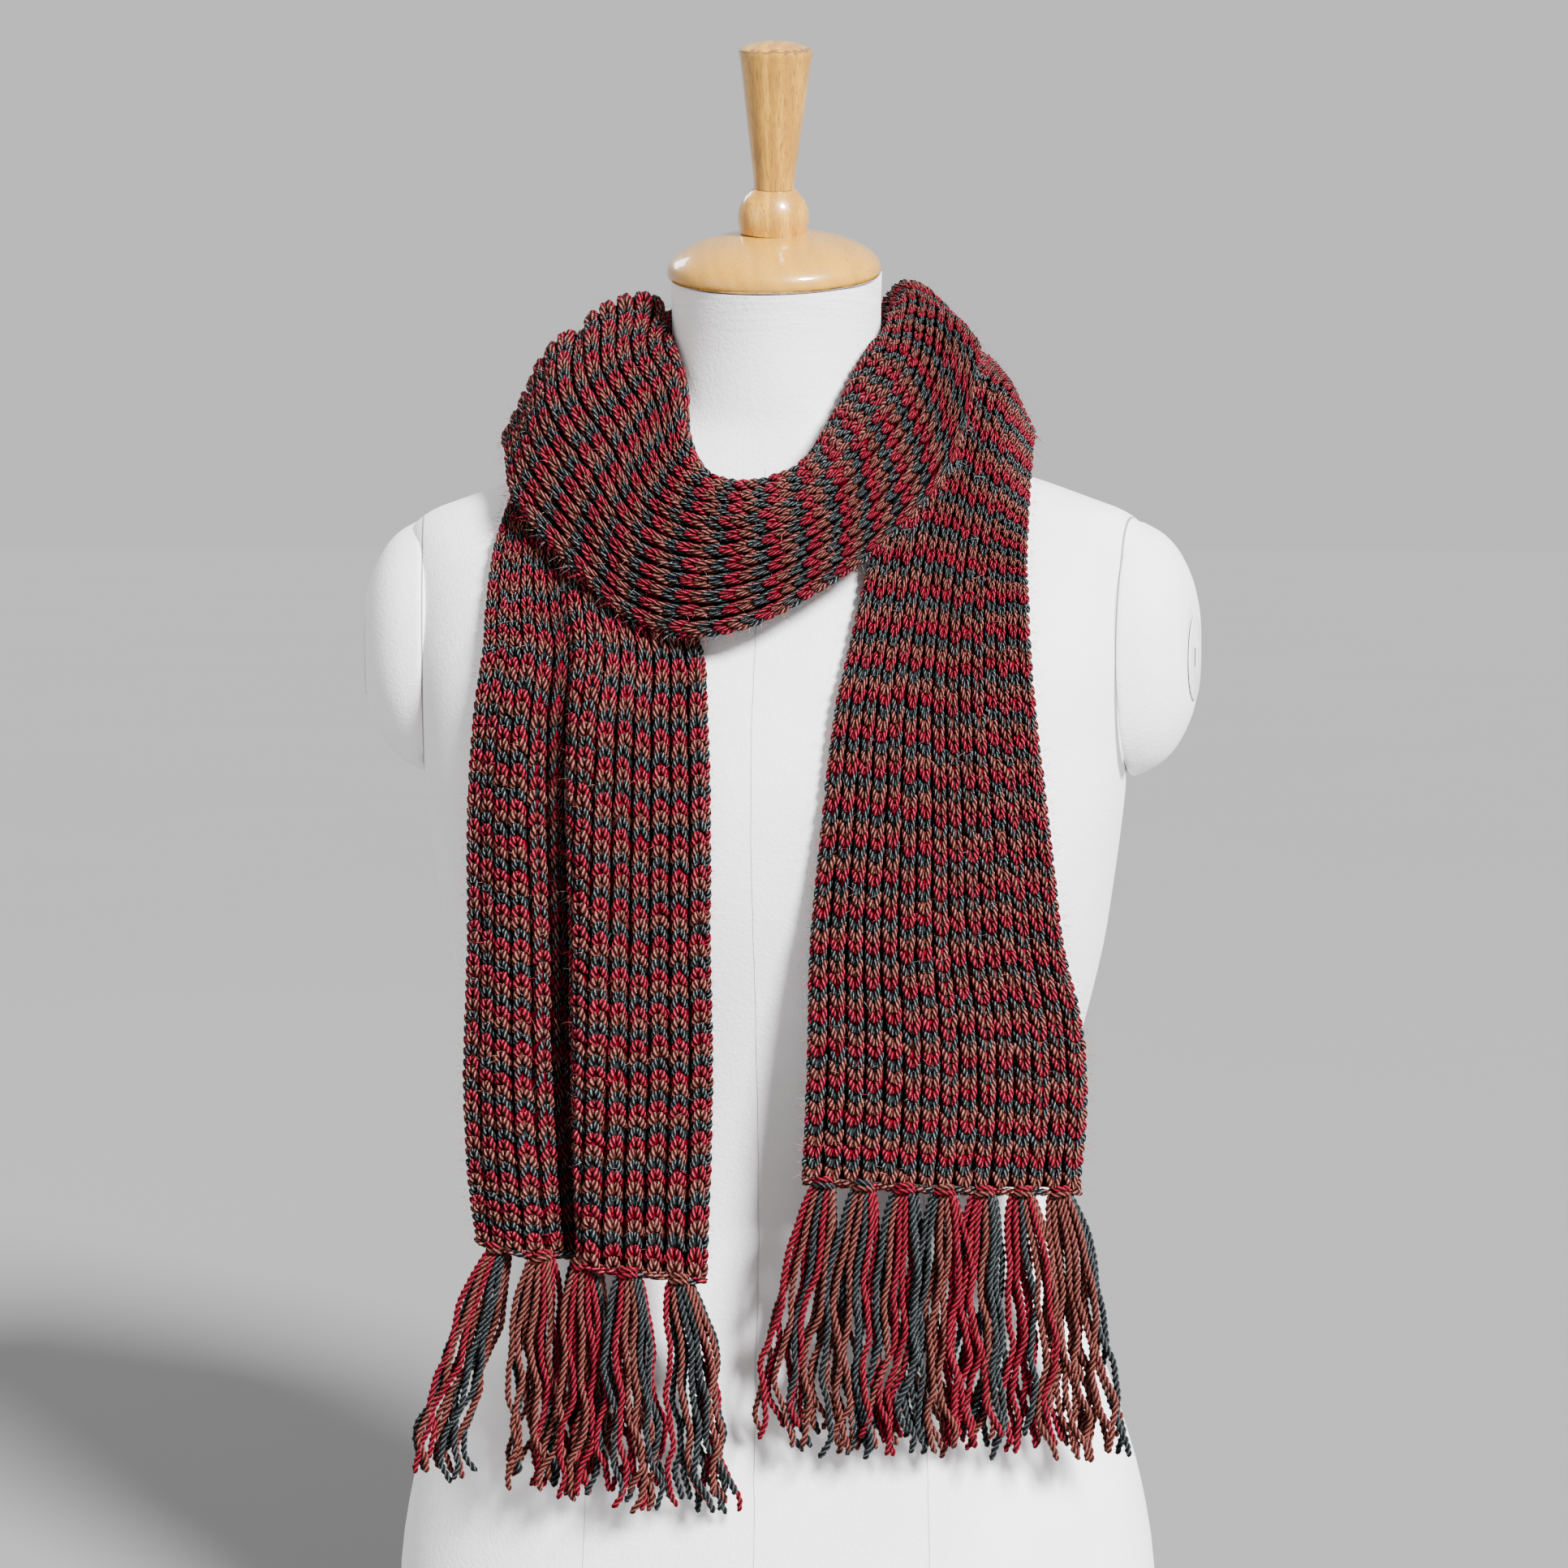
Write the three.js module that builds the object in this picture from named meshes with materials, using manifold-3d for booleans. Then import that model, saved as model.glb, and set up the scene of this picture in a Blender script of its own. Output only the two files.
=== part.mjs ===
// Chunky rib-knit scarf wound once round the neck of a limbless dress form.
// Millimetres, +Z up. The origin is the middle of the form's flat underside,
// the form faces -Y, and +X is on the right of someone who looks at its front.

import * as THREE from 'three';
import { mergeVertices } from 'three/addons/utils/BufferGeometryUtils.js';
import Module from 'manifold-3d';

const wasm = await Module();
wasm.setup();

// Fit between pieces
const SEAM_GAP = 0.3;
const END_TRIM = 0.25;
const STRIP_GAP = 0.6;

// Dress form
const FORM_SIDES = 32;
const NECK_TOP_Z = 730;
const NECK_TOP_Y = -10.5;
const NECK_LEAN = THREE.MathUtils.degToRad(12);

// One row for each level of the form: half width, reach to the front and to the
// back of the Z axis, roundness of the outline (2 is an ellipse) and forward lean in degrees
const FORM_LEVELS = [
  { z: 0, half: 199, front: 112, back: 124, round: 2.3, lean: 0 },
  { z: 60, half: 198, front: 114, back: 124, round: 2.3, lean: 0 },
  { z: 105, half: 191, front: 112, back: 119, round: 2.3, lean: 0 },
  { z: 140, half: 181, front: 107, back: 112, round: 2.3, lean: 0 },
  { z: 172, half: 170, front: 101, back: 105, round: 2.3, lean: 0 },
  { z: 200, half: 156, front: 94, back: 97, round: 2.3, lean: 0 },
  { z: 228, half: 146, front: 88, back: 90, round: 2.3, lean: 0 },
  { z: 253, half: 142, front: 86, back: 86, round: 2.3, lean: 0 },
  { z: 280, half: 143, front: 87, back: 84, round: 2.3, lean: 0 },
  { z: 310, half: 149, front: 91, back: 85, round: 2.35, lean: 0 },
  { z: 350, half: 160, front: 99, back: 90, round: 2.4, lean: 0 },
  { z: 388, half: 169, front: 108, back: 97, round: 2.5, lean: 0 },
  { z: 420, half: 174, front: 115, back: 102, round: 2.6, lean: 0 },
  { z: 455, half: 178.5, front: 119, back: 106, round: 2.6, lean: 0 },
  { z: 490, half: 182, front: 118, back: 109, round: 2.6, lean: 0 },
  { z: 530, half: 187, front: 108, back: 111, round: 2.6, lean: 0 },
  { z: 565, half: 189, front: 92, back: 109, round: 2.6, lean: 0 },
  { z: 588, half: 190, front: 77, back: 104, round: 2.6, lean: 0 },
  { z: 602, half: 189, front: 66, back: 97, round: 2.5, lean: 0 },
  { z: 611, half: 179, front: 62, back: 91, round: 2.4, lean: 0 },
  { z: 618, half: 161, front: 60, back: 86, round: 2.35, lean: 0 },
  { z: 626, half: 139, front: 59, back: 79, round: 2.3, lean: 0 },
  { z: 635, half: 112, front: 57, back: 72, round: 2.2, lean: 0 },
  { z: 646, half: 86, front: 55, back: 66, round: 2.1, lean: 1 },
  { z: 658, half: 67, front: 54, back: 62, round: 2, lean: 3 },
  { z: 672, half: 57, front: 55, back: 57, round: 2, lean: 6 },
  { z: 690, half: 54, front: 57, back: 51, round: 2, lean: 8 },
  { z: 710, half: 53.5, front: 60, back: 47, round: 2, lean: 10 },
  { z: NECK_TOP_Z, half: 54, front: 64.5, back: 43.5, round: 2, lean: 12 },
];

// Arm caps: shares of the full outline at each distance out from the armhole
const ARM = { x: 184, y: 3, z: 541, halfDepth: 57, halfHeight: 65, hidden: 22, round: 2.2, sides: 24, toe: 9 };
const ARM_BULGE = [
  { out: 0, share: 1 },
  { out: 7, share: 0.965 },
  { out: 13, share: 0.91 },
  { out: 19, share: 0.82 },
  { out: 24, share: 0.7 },
  { out: 28, share: 0.56 },
  { out: 30.5, share: 0.42 },
];
const ARM_PLATE = { halfDepth: 18, halfHeight: 22, drop: 4, thickness: 1.4, slotWidth: 2.4, slotHeight: 10 };

// Turned wood on the neck
const NECK_CAP = { radius: 54.8, height: 21, edge: 3.4, edgeRound: 2.6 };
const DOME_SHARES = [0.97, 0.9, 0.78, 0.62, 0.44, 0.24];
const BALL = { radius: 18.2, below: 6.3, above: 14.7, steps: 7 };
const HANDLE = { bottomRadius: 10.2, topRadius: 18.8, length: 70, crown: 4, edgeRound: 2.5 };
const HANDLE_FOOT = { flare: 0.4, height: 6 };
const TURNED_SIDES = 28;

// Scarf cloth: a wall with raised ribs on its outer side
const RIBS = 15;
const WALL = 4;
const RIB_RISE = 1.7;
const SECTION_STEP = 28;
const RIBS_PER_INNER_FACE = 1.5;

// A tail row whose inner edge lies in front of this Y hangs, so it is crowned straight
// forward. One behind it rests on the chest and is crowned forward and up
const HANGS_FROM_Y = -90;

// Left tail, from its hem up to the shoulder. Each row is a line across the cloth, from
// its inner edge (next to the neck) to its outer edge, and the crown is how far the
// middle stands proud of the straight line between them
const LEFT_TAIL = [
  { inner: [-22, -126, 237], outer: [-139, -104, 250], crown: 9 },
  { inner: [-20, -126, 291], outer: [-143, -104, 283], crown: 9 },
  { inner: [-19, -126, 340], outer: [-145, -102, 332], crown: 9 },
  { inner: [-20, -126, 403], outer: [-143, -100, 398], crown: 10 },
  { inner: [-20, -125, 467], outer: [-143, -97, 463], crown: 11 },
  { inner: [-22, -120, 514], outer: [-140, -95, 512], crown: 10 },
  { inner: [-26, -108, 545], outer: [-136, -90, 543], crown: 7 },
  { inner: [-40, -92, 576], outer: [-136, -83, 560], crown: 5 },
  { inner: [-50, -78, 608], outer: [-135, -68, 589], crown: 3 },
  { inner: [-57, -62, 640], outer: [-131, -51, 612], crown: 1 },
  { inner: [-61, -34, 665], outer: [-126, -30, 633], crown: 1 },
  { inner: [-63, 0, 676], outer: [-126, 0, 642], crown: 3 },
];

// Winding round the neck. Each row is a section at an angle that runs from the front (0)
// over the left shoulder (90) and the back (180): radius and height of the cloth's
// neck edge, of its two middle points and of its outer edge
const WINDING = [
  { turn: 130, rim: [58, 710], crest: [70, 688], belly: [88, 668], edge: [110, 642] },
  { turn: 180, rim: [53, 729], crest: [60, 695], belly: [71, 660], edge: [95, 622] },
  { turn: 230, rim: [55, 724], crest: [62, 702], belly: [68, 678], edge: [80, 656] },
  { turn: 250, rim: [57, 700], crest: [61, 721], belly: [70, 724], edge: [79, 708] },
  { turn: 270, rim: [59, 696], crest: [66, 719], belly: [84, 713], edge: [98, 699] },
  { turn: 290, rim: [60, 680], crest: [65, 704], belly: [91, 705], edge: [112, 683] },
  { turn: 310, rim: [62, 662], crest: [66, 688], belly: [97, 676], edge: [120, 630] },
  { turn: 330, rim: [68, 634], crest: [74, 658], belly: [104, 642], edge: [119, 594] },
  { turn: 345, rim: [74, 612], crest: [90, 635], belly: [113, 614], edge: [119, 574] },
  { turn: 360, rim: [76, 605], crest: [94, 626], belly: [117, 596], edge: [121, 558] },
  { turn: 375, rim: [76, 606], crest: [93, 628], belly: [119, 594], edge: [122, 553] },
  { turn: 390, rim: [74, 628], crest: [80, 646], belly: [118, 607], edge: [125, 562] },
  { turn: 405, rim: [65, 662], crest: [66, 678], belly: [114, 636], edge: [133, 588] },
  { turn: 420, rim: [60, 681], crest: [64, 696], belly: [114, 667], edge: [142, 617] },
  { turn: 435, rim: [58, 686], crest: [64, 711], belly: [109, 692], edge: [138, 640] },
  { turn: 450, rim: [59, 694], crest: [66, 720], belly: [107, 700], edge: [136, 648] },
  { turn: 490, rim: [68, 717], crest: [83, 703], belly: [107, 683], edge: [127, 642] },
  { turn: 540, rim: [64, 724], crest: [73, 690], belly: [87, 653], edge: [110, 610] },
  { turn: 590, rim: [76, 708], crest: [86, 688], belly: [99, 662], edge: [114, 630] },
  { turn: 610, rim: [94, 696], crest: [107, 690], belly: [119, 674], edge: [127, 645] },
];

// Right tail, from the shoulder down to its hem
const RIGHT_TAIL = [
  { inner: [72, 0, 674], outer: [130, 0, 650], crown: 25 },
  { inner: [70, -34, 661], outer: [131, -28, 638], crown: 16 },
  { inner: [66, -62, 636], outer: [131, -54, 610], crown: 8 },
  { inner: [60, -80, 606], outer: [131, -70, 590], crown: 6 },
  { inner: [54, -92, 577], outer: [132, -80, 573], crown: 6 },
  { inner: [48, -107, 546], outer: [134, -91, 545], crown: 6 },
  { inner: [42, -119, 515], outer: [137, -97, 514], crown: 8 },
  { inner: [37, -125, 467], outer: [143, -98, 466], crown: 10 },
  { inner: [31, -126, 404], outer: [151, -96, 401], crown: 10 },
  { inner: [30, -126, 367], outer: [160, -96, 363], crown: 9 },
  { inner: [29, -126, 330], outer: [163, -97, 326], crown: 8 },
  { inner: [27, -126, 288], outer: [160, -98, 280], crown: 8 },
];

// Soft folds: where each lies along the path (in rows of the tables) and across the
// cloth (0 at the neck edge, 1 at the outer edge), how far it spreads, and its height
const FOLDS = [
  { along: 2, reach: 5.5, across: 0.44, spread: 0.1, height: 5 },
  { along: 2, reach: 5.5, across: 0.78, spread: 0.12, height: 4 },
  { along: 27, reach: 1.2, across: 0.5, spread: 0.045, height: -7 },
  { along: 34, reach: 2.5, across: 0.3, spread: 0.09, height: 3 },
];

// Fringe: bundles of plied strands looped through each hem
const FRINGE_LEFT = { bundles: 6, lean: [14, 3, 0, -2, -4, -27], length: 122, salt: 1, waveSalt: 4 };
const FRINGE_RIGHT = { bundles: 7, lean: [-16, -8, -4, 0, 2, 8, 20], length: 128, salt: 2, waveSalt: 5 };
const STRAND_COLUMNS = 3;
const STRAND_LAYERS = 3;
const STRAND_RADIUS = 1.5;
const STRAND_SIDES = 3;
const STRAND_STEPS = 4;
const STRAND_WAVE = 3.5;
const STRAND_WAVES = 1.1;
const STRAND_LENGTHS = { least: 0.94, most: 1.06 };
const SPREAD_POWER = 1.8;
const COLUMN_PITCH = { root: 3.2, tip: 7 };
const LAYER_PITCH = { root: 3, tip: 5.5 };
const STRIP_HEIGHT = 5;
const STRIP_DEPTH = 8;
const STRIP_SHARE = 0.97;

const FINISH = {
  form: { color: 0xdedadb, roughness: 0.9, metalness: 0 },
  wood: { color: 0xd9ab6e, roughness: 0.3, metalness: 0 },
  knit: { color: 0x7d2c35, roughness: 0.95, metalness: 0 },
  fringe: { color: 0x8d4143, roughness: 0.95, metalness: 0 },
};

// Evenly spread but irregular share between 0 and 1 for item n of a set
function scatter(n, salt) {
  return ((n * 73 + salt * 151) % 97) / 97;
}

// Closed body through rings of points that all have the same count. A cap is a list of
// triangles over one ring, wound as the ring runs
function loft(rings, capTriangles) {
  const count = rings[0].length;
  const last = (rings.length - 1) * count;
  const positions = rings.flat().flatMap((point) => [point.x, point.y, point.z]);
  const index = [];
  for (let k = 0; k < rings.length - 1; k += 1) {
    for (let i = 0; i < count; i += 1) {
      const here = k * count + i;
      const next = k * count + ((i + 1) % count);
      index.push(here, here + count, next + count, here, next + count, next);
    }
  }
  for (const [a, b, c] of capTriangles) {
    index.push(a, b, c, last + a, last + c, last + b);
  }
  const geometry = new THREE.BufferGeometry();
  geometry.setAttribute('position', new THREE.Float32BufferAttribute(positions, 3));
  geometry.setIndex(index);
  return geometry;
}

// Cap of a ring that is convex: a fan from its first point
function fanCap(count) {
  const triangles = [];
  for (let i = 1; i < count - 1; i += 1) {
    triangles.push([0, i, i + 1]);
  }
  return triangles;
}

// Point of a rounded outline: an ellipse whose sides swell as the power grows
function outlinePoint(angle, halfX, halfY, round) {
  const power = 2 / round;
  const x = Math.sign(Math.cos(angle)) * Math.abs(Math.cos(angle)) ** power;
  const y = Math.sign(Math.sin(angle)) * Math.abs(Math.sin(angle)) ** power;
  return new THREE.Vector2(halfX * x, halfY * y);
}

function toManifold(geometry) {
  const bare = geometry.clone();
  bare.deleteAttribute('normal');
  bare.deleteAttribute('uv');
  const merged = mergeVertices(bare, 1e-4);
  const vertProperties = new Float32Array(merged.attributes.position.array);
  const triVerts = new Uint32Array(merged.index.array);
  return new wasm.Manifold(new wasm.Mesh({ numProp: 3, vertProperties, triVerts }));
}

function fromManifold(solid) {
  const mesh = solid.getMesh();
  const geometry = new THREE.BufferGeometry();
  geometry.setAttribute('position', new THREE.Float32BufferAttribute(mesh.vertProperties, 3));
  geometry.setIndex(Array.from(mesh.triVerts));
  return geometry;
}

// Torso and neck of the form, with its outline moved out by a margin
function formBody(margin) {
  const rings = FORM_LEVELS.map((level) => {
    const middle = (level.back - level.front) / 2;
    const lean = Math.tan(THREE.MathUtils.degToRad(level.lean));
    const ring = [];
    for (let i = 0; i < FORM_SIDES; i += 1) {
      const angle = (-2 * Math.PI * i) / FORM_SIDES;
      const reach = Math.sin(angle) < 0 ? level.front : level.back;
      const spot = outlinePoint(angle, level.half + margin, reach + margin, level.round);
      ring.push(new THREE.Vector3(spot.x, spot.y, level.z + (spot.y - middle) * lean));
    }
    return ring;
  });
  return loft(rings, fanCap(FORM_SIDES));
}

// Swing an arm cap's geometry so that its end looks a little to the front
function turnForward(geometry, side) {
  geometry.translate(-side * ARM.x, -ARM.y, 0);
  geometry.rotateZ(-side * THREE.MathUtils.degToRad(ARM.toe));
  return geometry.translate(side * ARM.x, ARM.y, 0);
}

// Rounded cap over one armhole, hollowed where it meets the side of the form
function armCap(side, formCut) {
  const rows = [{ out: -ARM.hidden, share: 1 }, ...ARM_BULGE];
  const rings = rows.map((row) => {
    const ring = [];
    for (let i = 0; i < ARM.sides; i += 1) {
      const angle = (side * 2 * Math.PI * i) / ARM.sides;
      const spot = outlinePoint(angle, ARM.halfDepth * row.share, ARM.halfHeight * row.share, ARM.round);
      ring.push(new THREE.Vector3(side * (ARM.x + row.out), ARM.y + spot.x, ARM.z + spot.y));
    }
    return ring.reverse();
  });
  const whole = turnForward(loft(rings, fanCap(ARM.sides)), side);
  return fromManifold(toManifold(whole).subtract(formCut));
}

// Slotted end plate of an arm cap
function armPlate(side) {
  const outline = new THREE.Shape();
  outline.absellipse(0, 0, ARM_PLATE.halfDepth, ARM_PLATE.halfHeight, 0, 2 * Math.PI);
  const slot = new THREE.Path();
  const halfWidth = ARM_PLATE.slotWidth / 2;
  const halfSlot = ARM_PLATE.slotHeight / 2;
  slot.moveTo(-halfWidth, -halfSlot);
  slot.lineTo(-halfWidth, halfSlot);
  slot.lineTo(halfWidth, halfSlot);
  slot.lineTo(halfWidth, -halfSlot);
  outline.holes.push(slot);
  const geometry = new THREE.ExtrudeGeometry(outline, {
    depth: ARM_PLATE.thickness,
    bevelEnabled: false,
    curveSegments: 8,
  });
  geometry.rotateX(Math.PI / 2);
  geometry.rotateZ((side * Math.PI) / 2);
  const out = ARM_BULGE.at(-1).out + SEAM_GAP;
  geometry.translate(side * (ARM.x + out), ARM.y, ARM.z - ARM_PLATE.drop);
  return turnForward(geometry, side);
}

// Turned piece on the Z axis from rows of radius and height
function turned(profile) {
  const points = profile.map(([radius, height]) => new THREE.Vector2(radius, height));
  const geometry = new THREE.LatheGeometry(points, TURNED_SIDES);
  return geometry.rotateX(Math.PI / 2);
}

function neckCapProfile() {
  const { radius, height, edge, edgeRound } = NECK_CAP;
  const rows = [[0, 0], [radius - edgeRound, 0], [radius - edgeRound / 4, edge / 4], [radius, edge]];
  for (const share of DOME_SHARES) {
    rows.push([radius * share, edge + (height - edge) * Math.sqrt(1 - share ** 2)]);
  }
  return [...rows, [0, height]];
}

function ballProfile() {
  const { radius, below, above, steps } = BALL;
  const from = -Math.asin(below / radius);
  const to = Math.asin(above / radius);
  const rows = [[0, 0]];
  for (let i = 0; i <= steps; i += 1) {
    const angle = from + ((to - from) * i) / steps;
    rows.push([radius * Math.cos(angle), below + radius * Math.sin(angle)]);
  }
  return [...rows, [0, below + above]];
}

function handleProfile() {
  const { bottomRadius, topRadius, length, crown, edgeRound } = HANDLE;
  return [
    [0, 0],
    [bottomRadius, 0],
    [bottomRadius + HANDLE_FOOT.flare, HANDLE_FOOT.height],
    [topRadius - edgeRound * 0.4, length - edgeRound * 3],
    [topRadius, length - edgeRound],
    [topRadius - edgeRound * 0.3, length],
    [topRadius * 0.7, length + crown * 0.55],
    [topRadius * 0.35, length + crown * 0.9],
    [0, length + crown],
  ];
}

// Four points across the cloth for a row of a tail
function tailStation(row) {
  const inner = new THREE.Vector3(...row.inner);
  const outer = new THREE.Vector3(...row.outer);
  const across = outer.clone().sub(inner).normalize();
  const rise = new THREE.Vector3(0, -1, 1).projectOnPlane(across);
  if (row.inner[1] < HANGS_FROM_Y) {
    rise.set(0, -1, 0);
  }
  rise.normalize().multiplyScalar(row.crown);
  const near = inner.clone().lerp(outer, 1 / 3).add(rise);
  const far = inner.clone().lerp(outer, 2 / 3).add(rise);
  return [inner, near, far, outer];
}

// Four points across the cloth for a section of the winding
function windingStation(row) {
  const turn = THREE.MathUtils.degToRad(row.turn);
  return [row.rim, row.crest, row.belly, row.edge].map(
    ([radius, height]) => new THREE.Vector3(-radius * Math.sin(turn), -radius * Math.cos(turn), height),
  );
}

const STATIONS = [
  ...LEFT_TAIL.map(tailStation),
  ...WINDING.map(windingStation),
  ...RIGHT_TAIL.map(tailStation),
];

// Smooth curve through a list of points, at a place counted in points
function through(points, place) {
  const curve = new THREE.CatmullRomCurve3(points, false, 'catmullrom', 0.5);
  return curve.getPoint(place / (points.length - 1));
}

function foldHeight(place, across) {
  let height = 0;
  for (const fold of FOLDS) {
    const along = (place - fold.along) / fold.reach;
    const side = (across - fold.across) / fold.spread;
    height += fold.height * Math.exp(-(along ** 2) - side ** 2);
  }
  return height;
}

// Points evenly spaced across the cloth at one place along the path
function lineAcross(place, count) {
  const controls = [0, 1, 2, 3].map((lane) => through(STATIONS.map((station) => station[lane]), place));
  const curve = new THREE.CatmullRomCurve3(controls, false, 'catmullrom', 0.5);
  return curve.getSpacedPoints(count);
}

// Middle line, outward normal and forward direction of the cloth across one place
function clothLine(place, count) {
  const nearby = 0.02;
  const line = lineAcross(place, count);
  const before = lineAcross(Math.max(place - nearby, 0), count);
  const after = lineAcross(Math.min(place + nearby, STATIONS.length - 1), count);
  return line.map((point, i) => {
    const forward = after[i].clone().sub(before[i]).normalize();
    const side = line[Math.min(i + 1, count)].clone().sub(line[Math.max(i - 1, 0)]);
    const normal = forward.clone().cross(side).normalize();
    point.addScaledVector(normal, foldHeight(place, i / count));
    return { point, normal, forward };
  });
}

// Places along the path where the sections of one stretch are cut
function sectionPlaces(from, to) {
  const places = [from];
  for (let span = Math.floor(from); span < to; span += 1) {
    const low = Math.max(span, from);
    const high = Math.min(span + 1, to);
    const start = clothLine(low, 2)[1].point;
    const end = clothLine(high, 2)[1].point;
    const steps = Math.max(1, Math.round(start.distanceTo(end) / SECTION_STEP));
    for (let i = 1; i <= steps; i += 1) {
      places.push(low + ((high - low) * i) / steps);
    }
  }
  return places;
}

// Cap of a cloth section: a strip between its ribbed side and its plain side
function clothCap(outerFaces, innerFaces) {
  const perFace = outerFaces / innerFaces;
  const inner = (j) => outerFaces + 1 + (innerFaces - j);
  const triangles = [];
  for (let j = 0; j < innerFaces; j += 1) {
    for (let i = 0; i < perFace; i += 1) {
      triangles.push([inner(j), j * perFace + i, j * perFace + i + 1]);
    }
    triangles.push([inner(j), (j + 1) * perFace, inner(j + 1)]);
  }
  return triangles;
}

// One stretch of the scarf: raised ribs outside over a plain inside
function scarfStretch(from, to) {
  const outerFaces = RIBS * 2;
  const innerFaces = RIBS / RIBS_PER_INNER_FACE;
  const innerEvery = outerFaces / innerFaces;
  const rings = sectionPlaces(from, to).map((place, k, all) => {
    const line = clothLine(place, outerFaces);
    let trim = 0;
    if (k === 0) {
      trim = END_TRIM;
    } else if (k === all.length - 1) {
      trim = -END_TRIM;
    }
    const ring = line.map(({ point, normal, forward }, i) => point.clone()
      .addScaledVector(normal, WALL / 2 + (i % 2) * RIB_RISE)
      .addScaledVector(forward, trim));
    for (let j = innerFaces; j >= 0; j -= 1) {
      const { point, normal, forward } = line[j * innerEvery];
      ring.push(point.clone().addScaledVector(normal, -WALL / 2).addScaledVector(forward, trim));
    }
    return ring;
  });
  return loft(rings, clothCap(outerFaces, innerFaces));
}

// Prism of a few sides along a list of points
function strand(points, radius) {
  const rings = points.map((point, k) => {
    const along = points[Math.min(k + 1, points.length - 1)].clone()
      .sub(points[Math.max(k - 1, 0)]).normalize();
    const side = new THREE.Vector3(0, 1, 0).cross(along).normalize();
    const front = along.clone().cross(side);
    const ring = [];
    for (let i = 0; i < STRAND_SIDES; i += 1) {
      const angle = (-2 * Math.PI * i) / STRAND_SIDES;
      ring.push(point.clone()
        .addScaledVector(side, radius * Math.cos(angle))
        .addScaledVector(front, radius * Math.sin(angle)));
    }
    return ring;
  });
  return loft(rings, fanCap(STRAND_SIDES));
}

// Path of one strand, from its knot under the hem to its tip. A bundle's strands stand in
// columns and layers that spread as they fall, and they wave together
function strandPath(knot, fringe, bundle, column, layer) {
  const item = (bundle * STRAND_COLUMNS + column) * STRAND_LAYERS + layer;
  const share = scatter(item, fringe.salt);
  const length = fringe.length * THREE.MathUtils.lerp(STRAND_LENGTHS.least, STRAND_LENGTHS.most, share);
  const fromMiddle = column - (STRAND_COLUMNS - 1) / 2 + (layer - 1) / STRAND_LAYERS;
  const fromFront = layer - (STRAND_LAYERS - 1) / 2;
  const phase = scatter(bundle, fringe.waveSalt);
  const points = [];
  for (let i = 0; i <= STRAND_STEPS; i += 1) {
    const t = i / STRAND_STEPS;
    const ease = 1 - (1 - t) ** SPREAD_POWER;
    const wave = STRAND_WAVE * t * Math.sin(2 * Math.PI * (STRAND_WAVES * t + phase));
    const columnPitch = THREE.MathUtils.lerp(COLUMN_PITCH.root, COLUMN_PITCH.tip, ease);
    const layerPitch = THREE.MathUtils.lerp(LAYER_PITCH.root, LAYER_PITCH.tip, ease);
    points.push(new THREE.Vector3(
      knot.x + fringe.lean[bundle] * ease + columnPitch * fromMiddle + wave,
      knot.y + layerPitch * fromFront,
      knot.z - length * t,
    ));
  }
  return points;
}

// Narrow strip under one hem with its bundles of strands
function fringeBody(fringe, place, down) {
  const lanes = fringe.bundles * 2;
  const line = clothLine(place, lanes);
  const rings = line.map(({ point, normal, forward }, i) => {
    const middle = line[fringe.bundles].point;
    const share = i === 0 || i === lanes ? STRIP_SHARE : 1;
    const spot = middle.clone().lerp(point, share);
    const ring = [];
    for (const [out, along] of [[1, 0], [1, 1], [-1, 1], [-1, 0]]) {
      ring.push(spot.clone()
        .addScaledVector(normal, (out * STRIP_DEPTH) / 2)
        .addScaledVector(forward, down * (STRIP_GAP + along * STRIP_HEIGHT)));
    }
    return down > 0 ? ring.reverse() : ring;
  });
  let solid = toManifold(loft(rings, fanCap(4)));
  for (let bundle = 0; bundle < fringe.bundles; bundle += 1) {
    const { point, forward } = line[bundle * 2 + 1];
    const knot = point.clone().addScaledVector(forward, down * (STRIP_GAP + STRIP_HEIGHT / 2));
    for (let column = 0; column < STRAND_COLUMNS; column += 1) {
      for (let layer = 0; layer < STRAND_LAYERS; layer += 1) {
        const path = strandPath(knot, fringe, bundle, column, layer);
        solid = solid.add(toManifold(strand(path, STRAND_RADIUS)));
      }
    }
  }
  return fromManifold(solid);
}

const object = new THREE.Group();

function addPiece(name, geometry, finish, parent = object) {
  const mesh = new THREE.Mesh(geometry, new THREE.MeshStandardMaterial(finish));
  mesh.name = name;
  parent.add(mesh);
  return mesh;
}

// Form
const formCut = toManifold(formBody(SEAM_GAP));
addPiece('form_torso', formBody(0), FINISH.form);
for (const [label, side] of [['left', -1], ['right', 1]]) {
  addPiece(`form_arm_cap_${label}`, armCap(side, formCut), FINISH.form);
  addPiece(`form_arm_plate_${label}`, armPlate(side), FINISH.form);
}

// Wood, stacked on the neck's leaning top
const top = new THREE.Group();
top.position.set(0, NECK_TOP_Y, NECK_TOP_Z);
top.rotation.x = NECK_LEAN;
object.add(top);
const cap = addPiece('form_neck_cap', turned(neckCapProfile()), FINISH.wood, top);
cap.position.z = SEAM_GAP;
const ball = addPiece('form_finial_ball', turned(ballProfile()), FINISH.wood, top);
ball.position.z = cap.position.z + NECK_CAP.height + SEAM_GAP;
const handle = addPiece('form_finial_handle', turned(handleProfile()), FINISH.wood, top);
handle.position.z = ball.position.z + BALL.below + BALL.above + SEAM_GAP;

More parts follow.
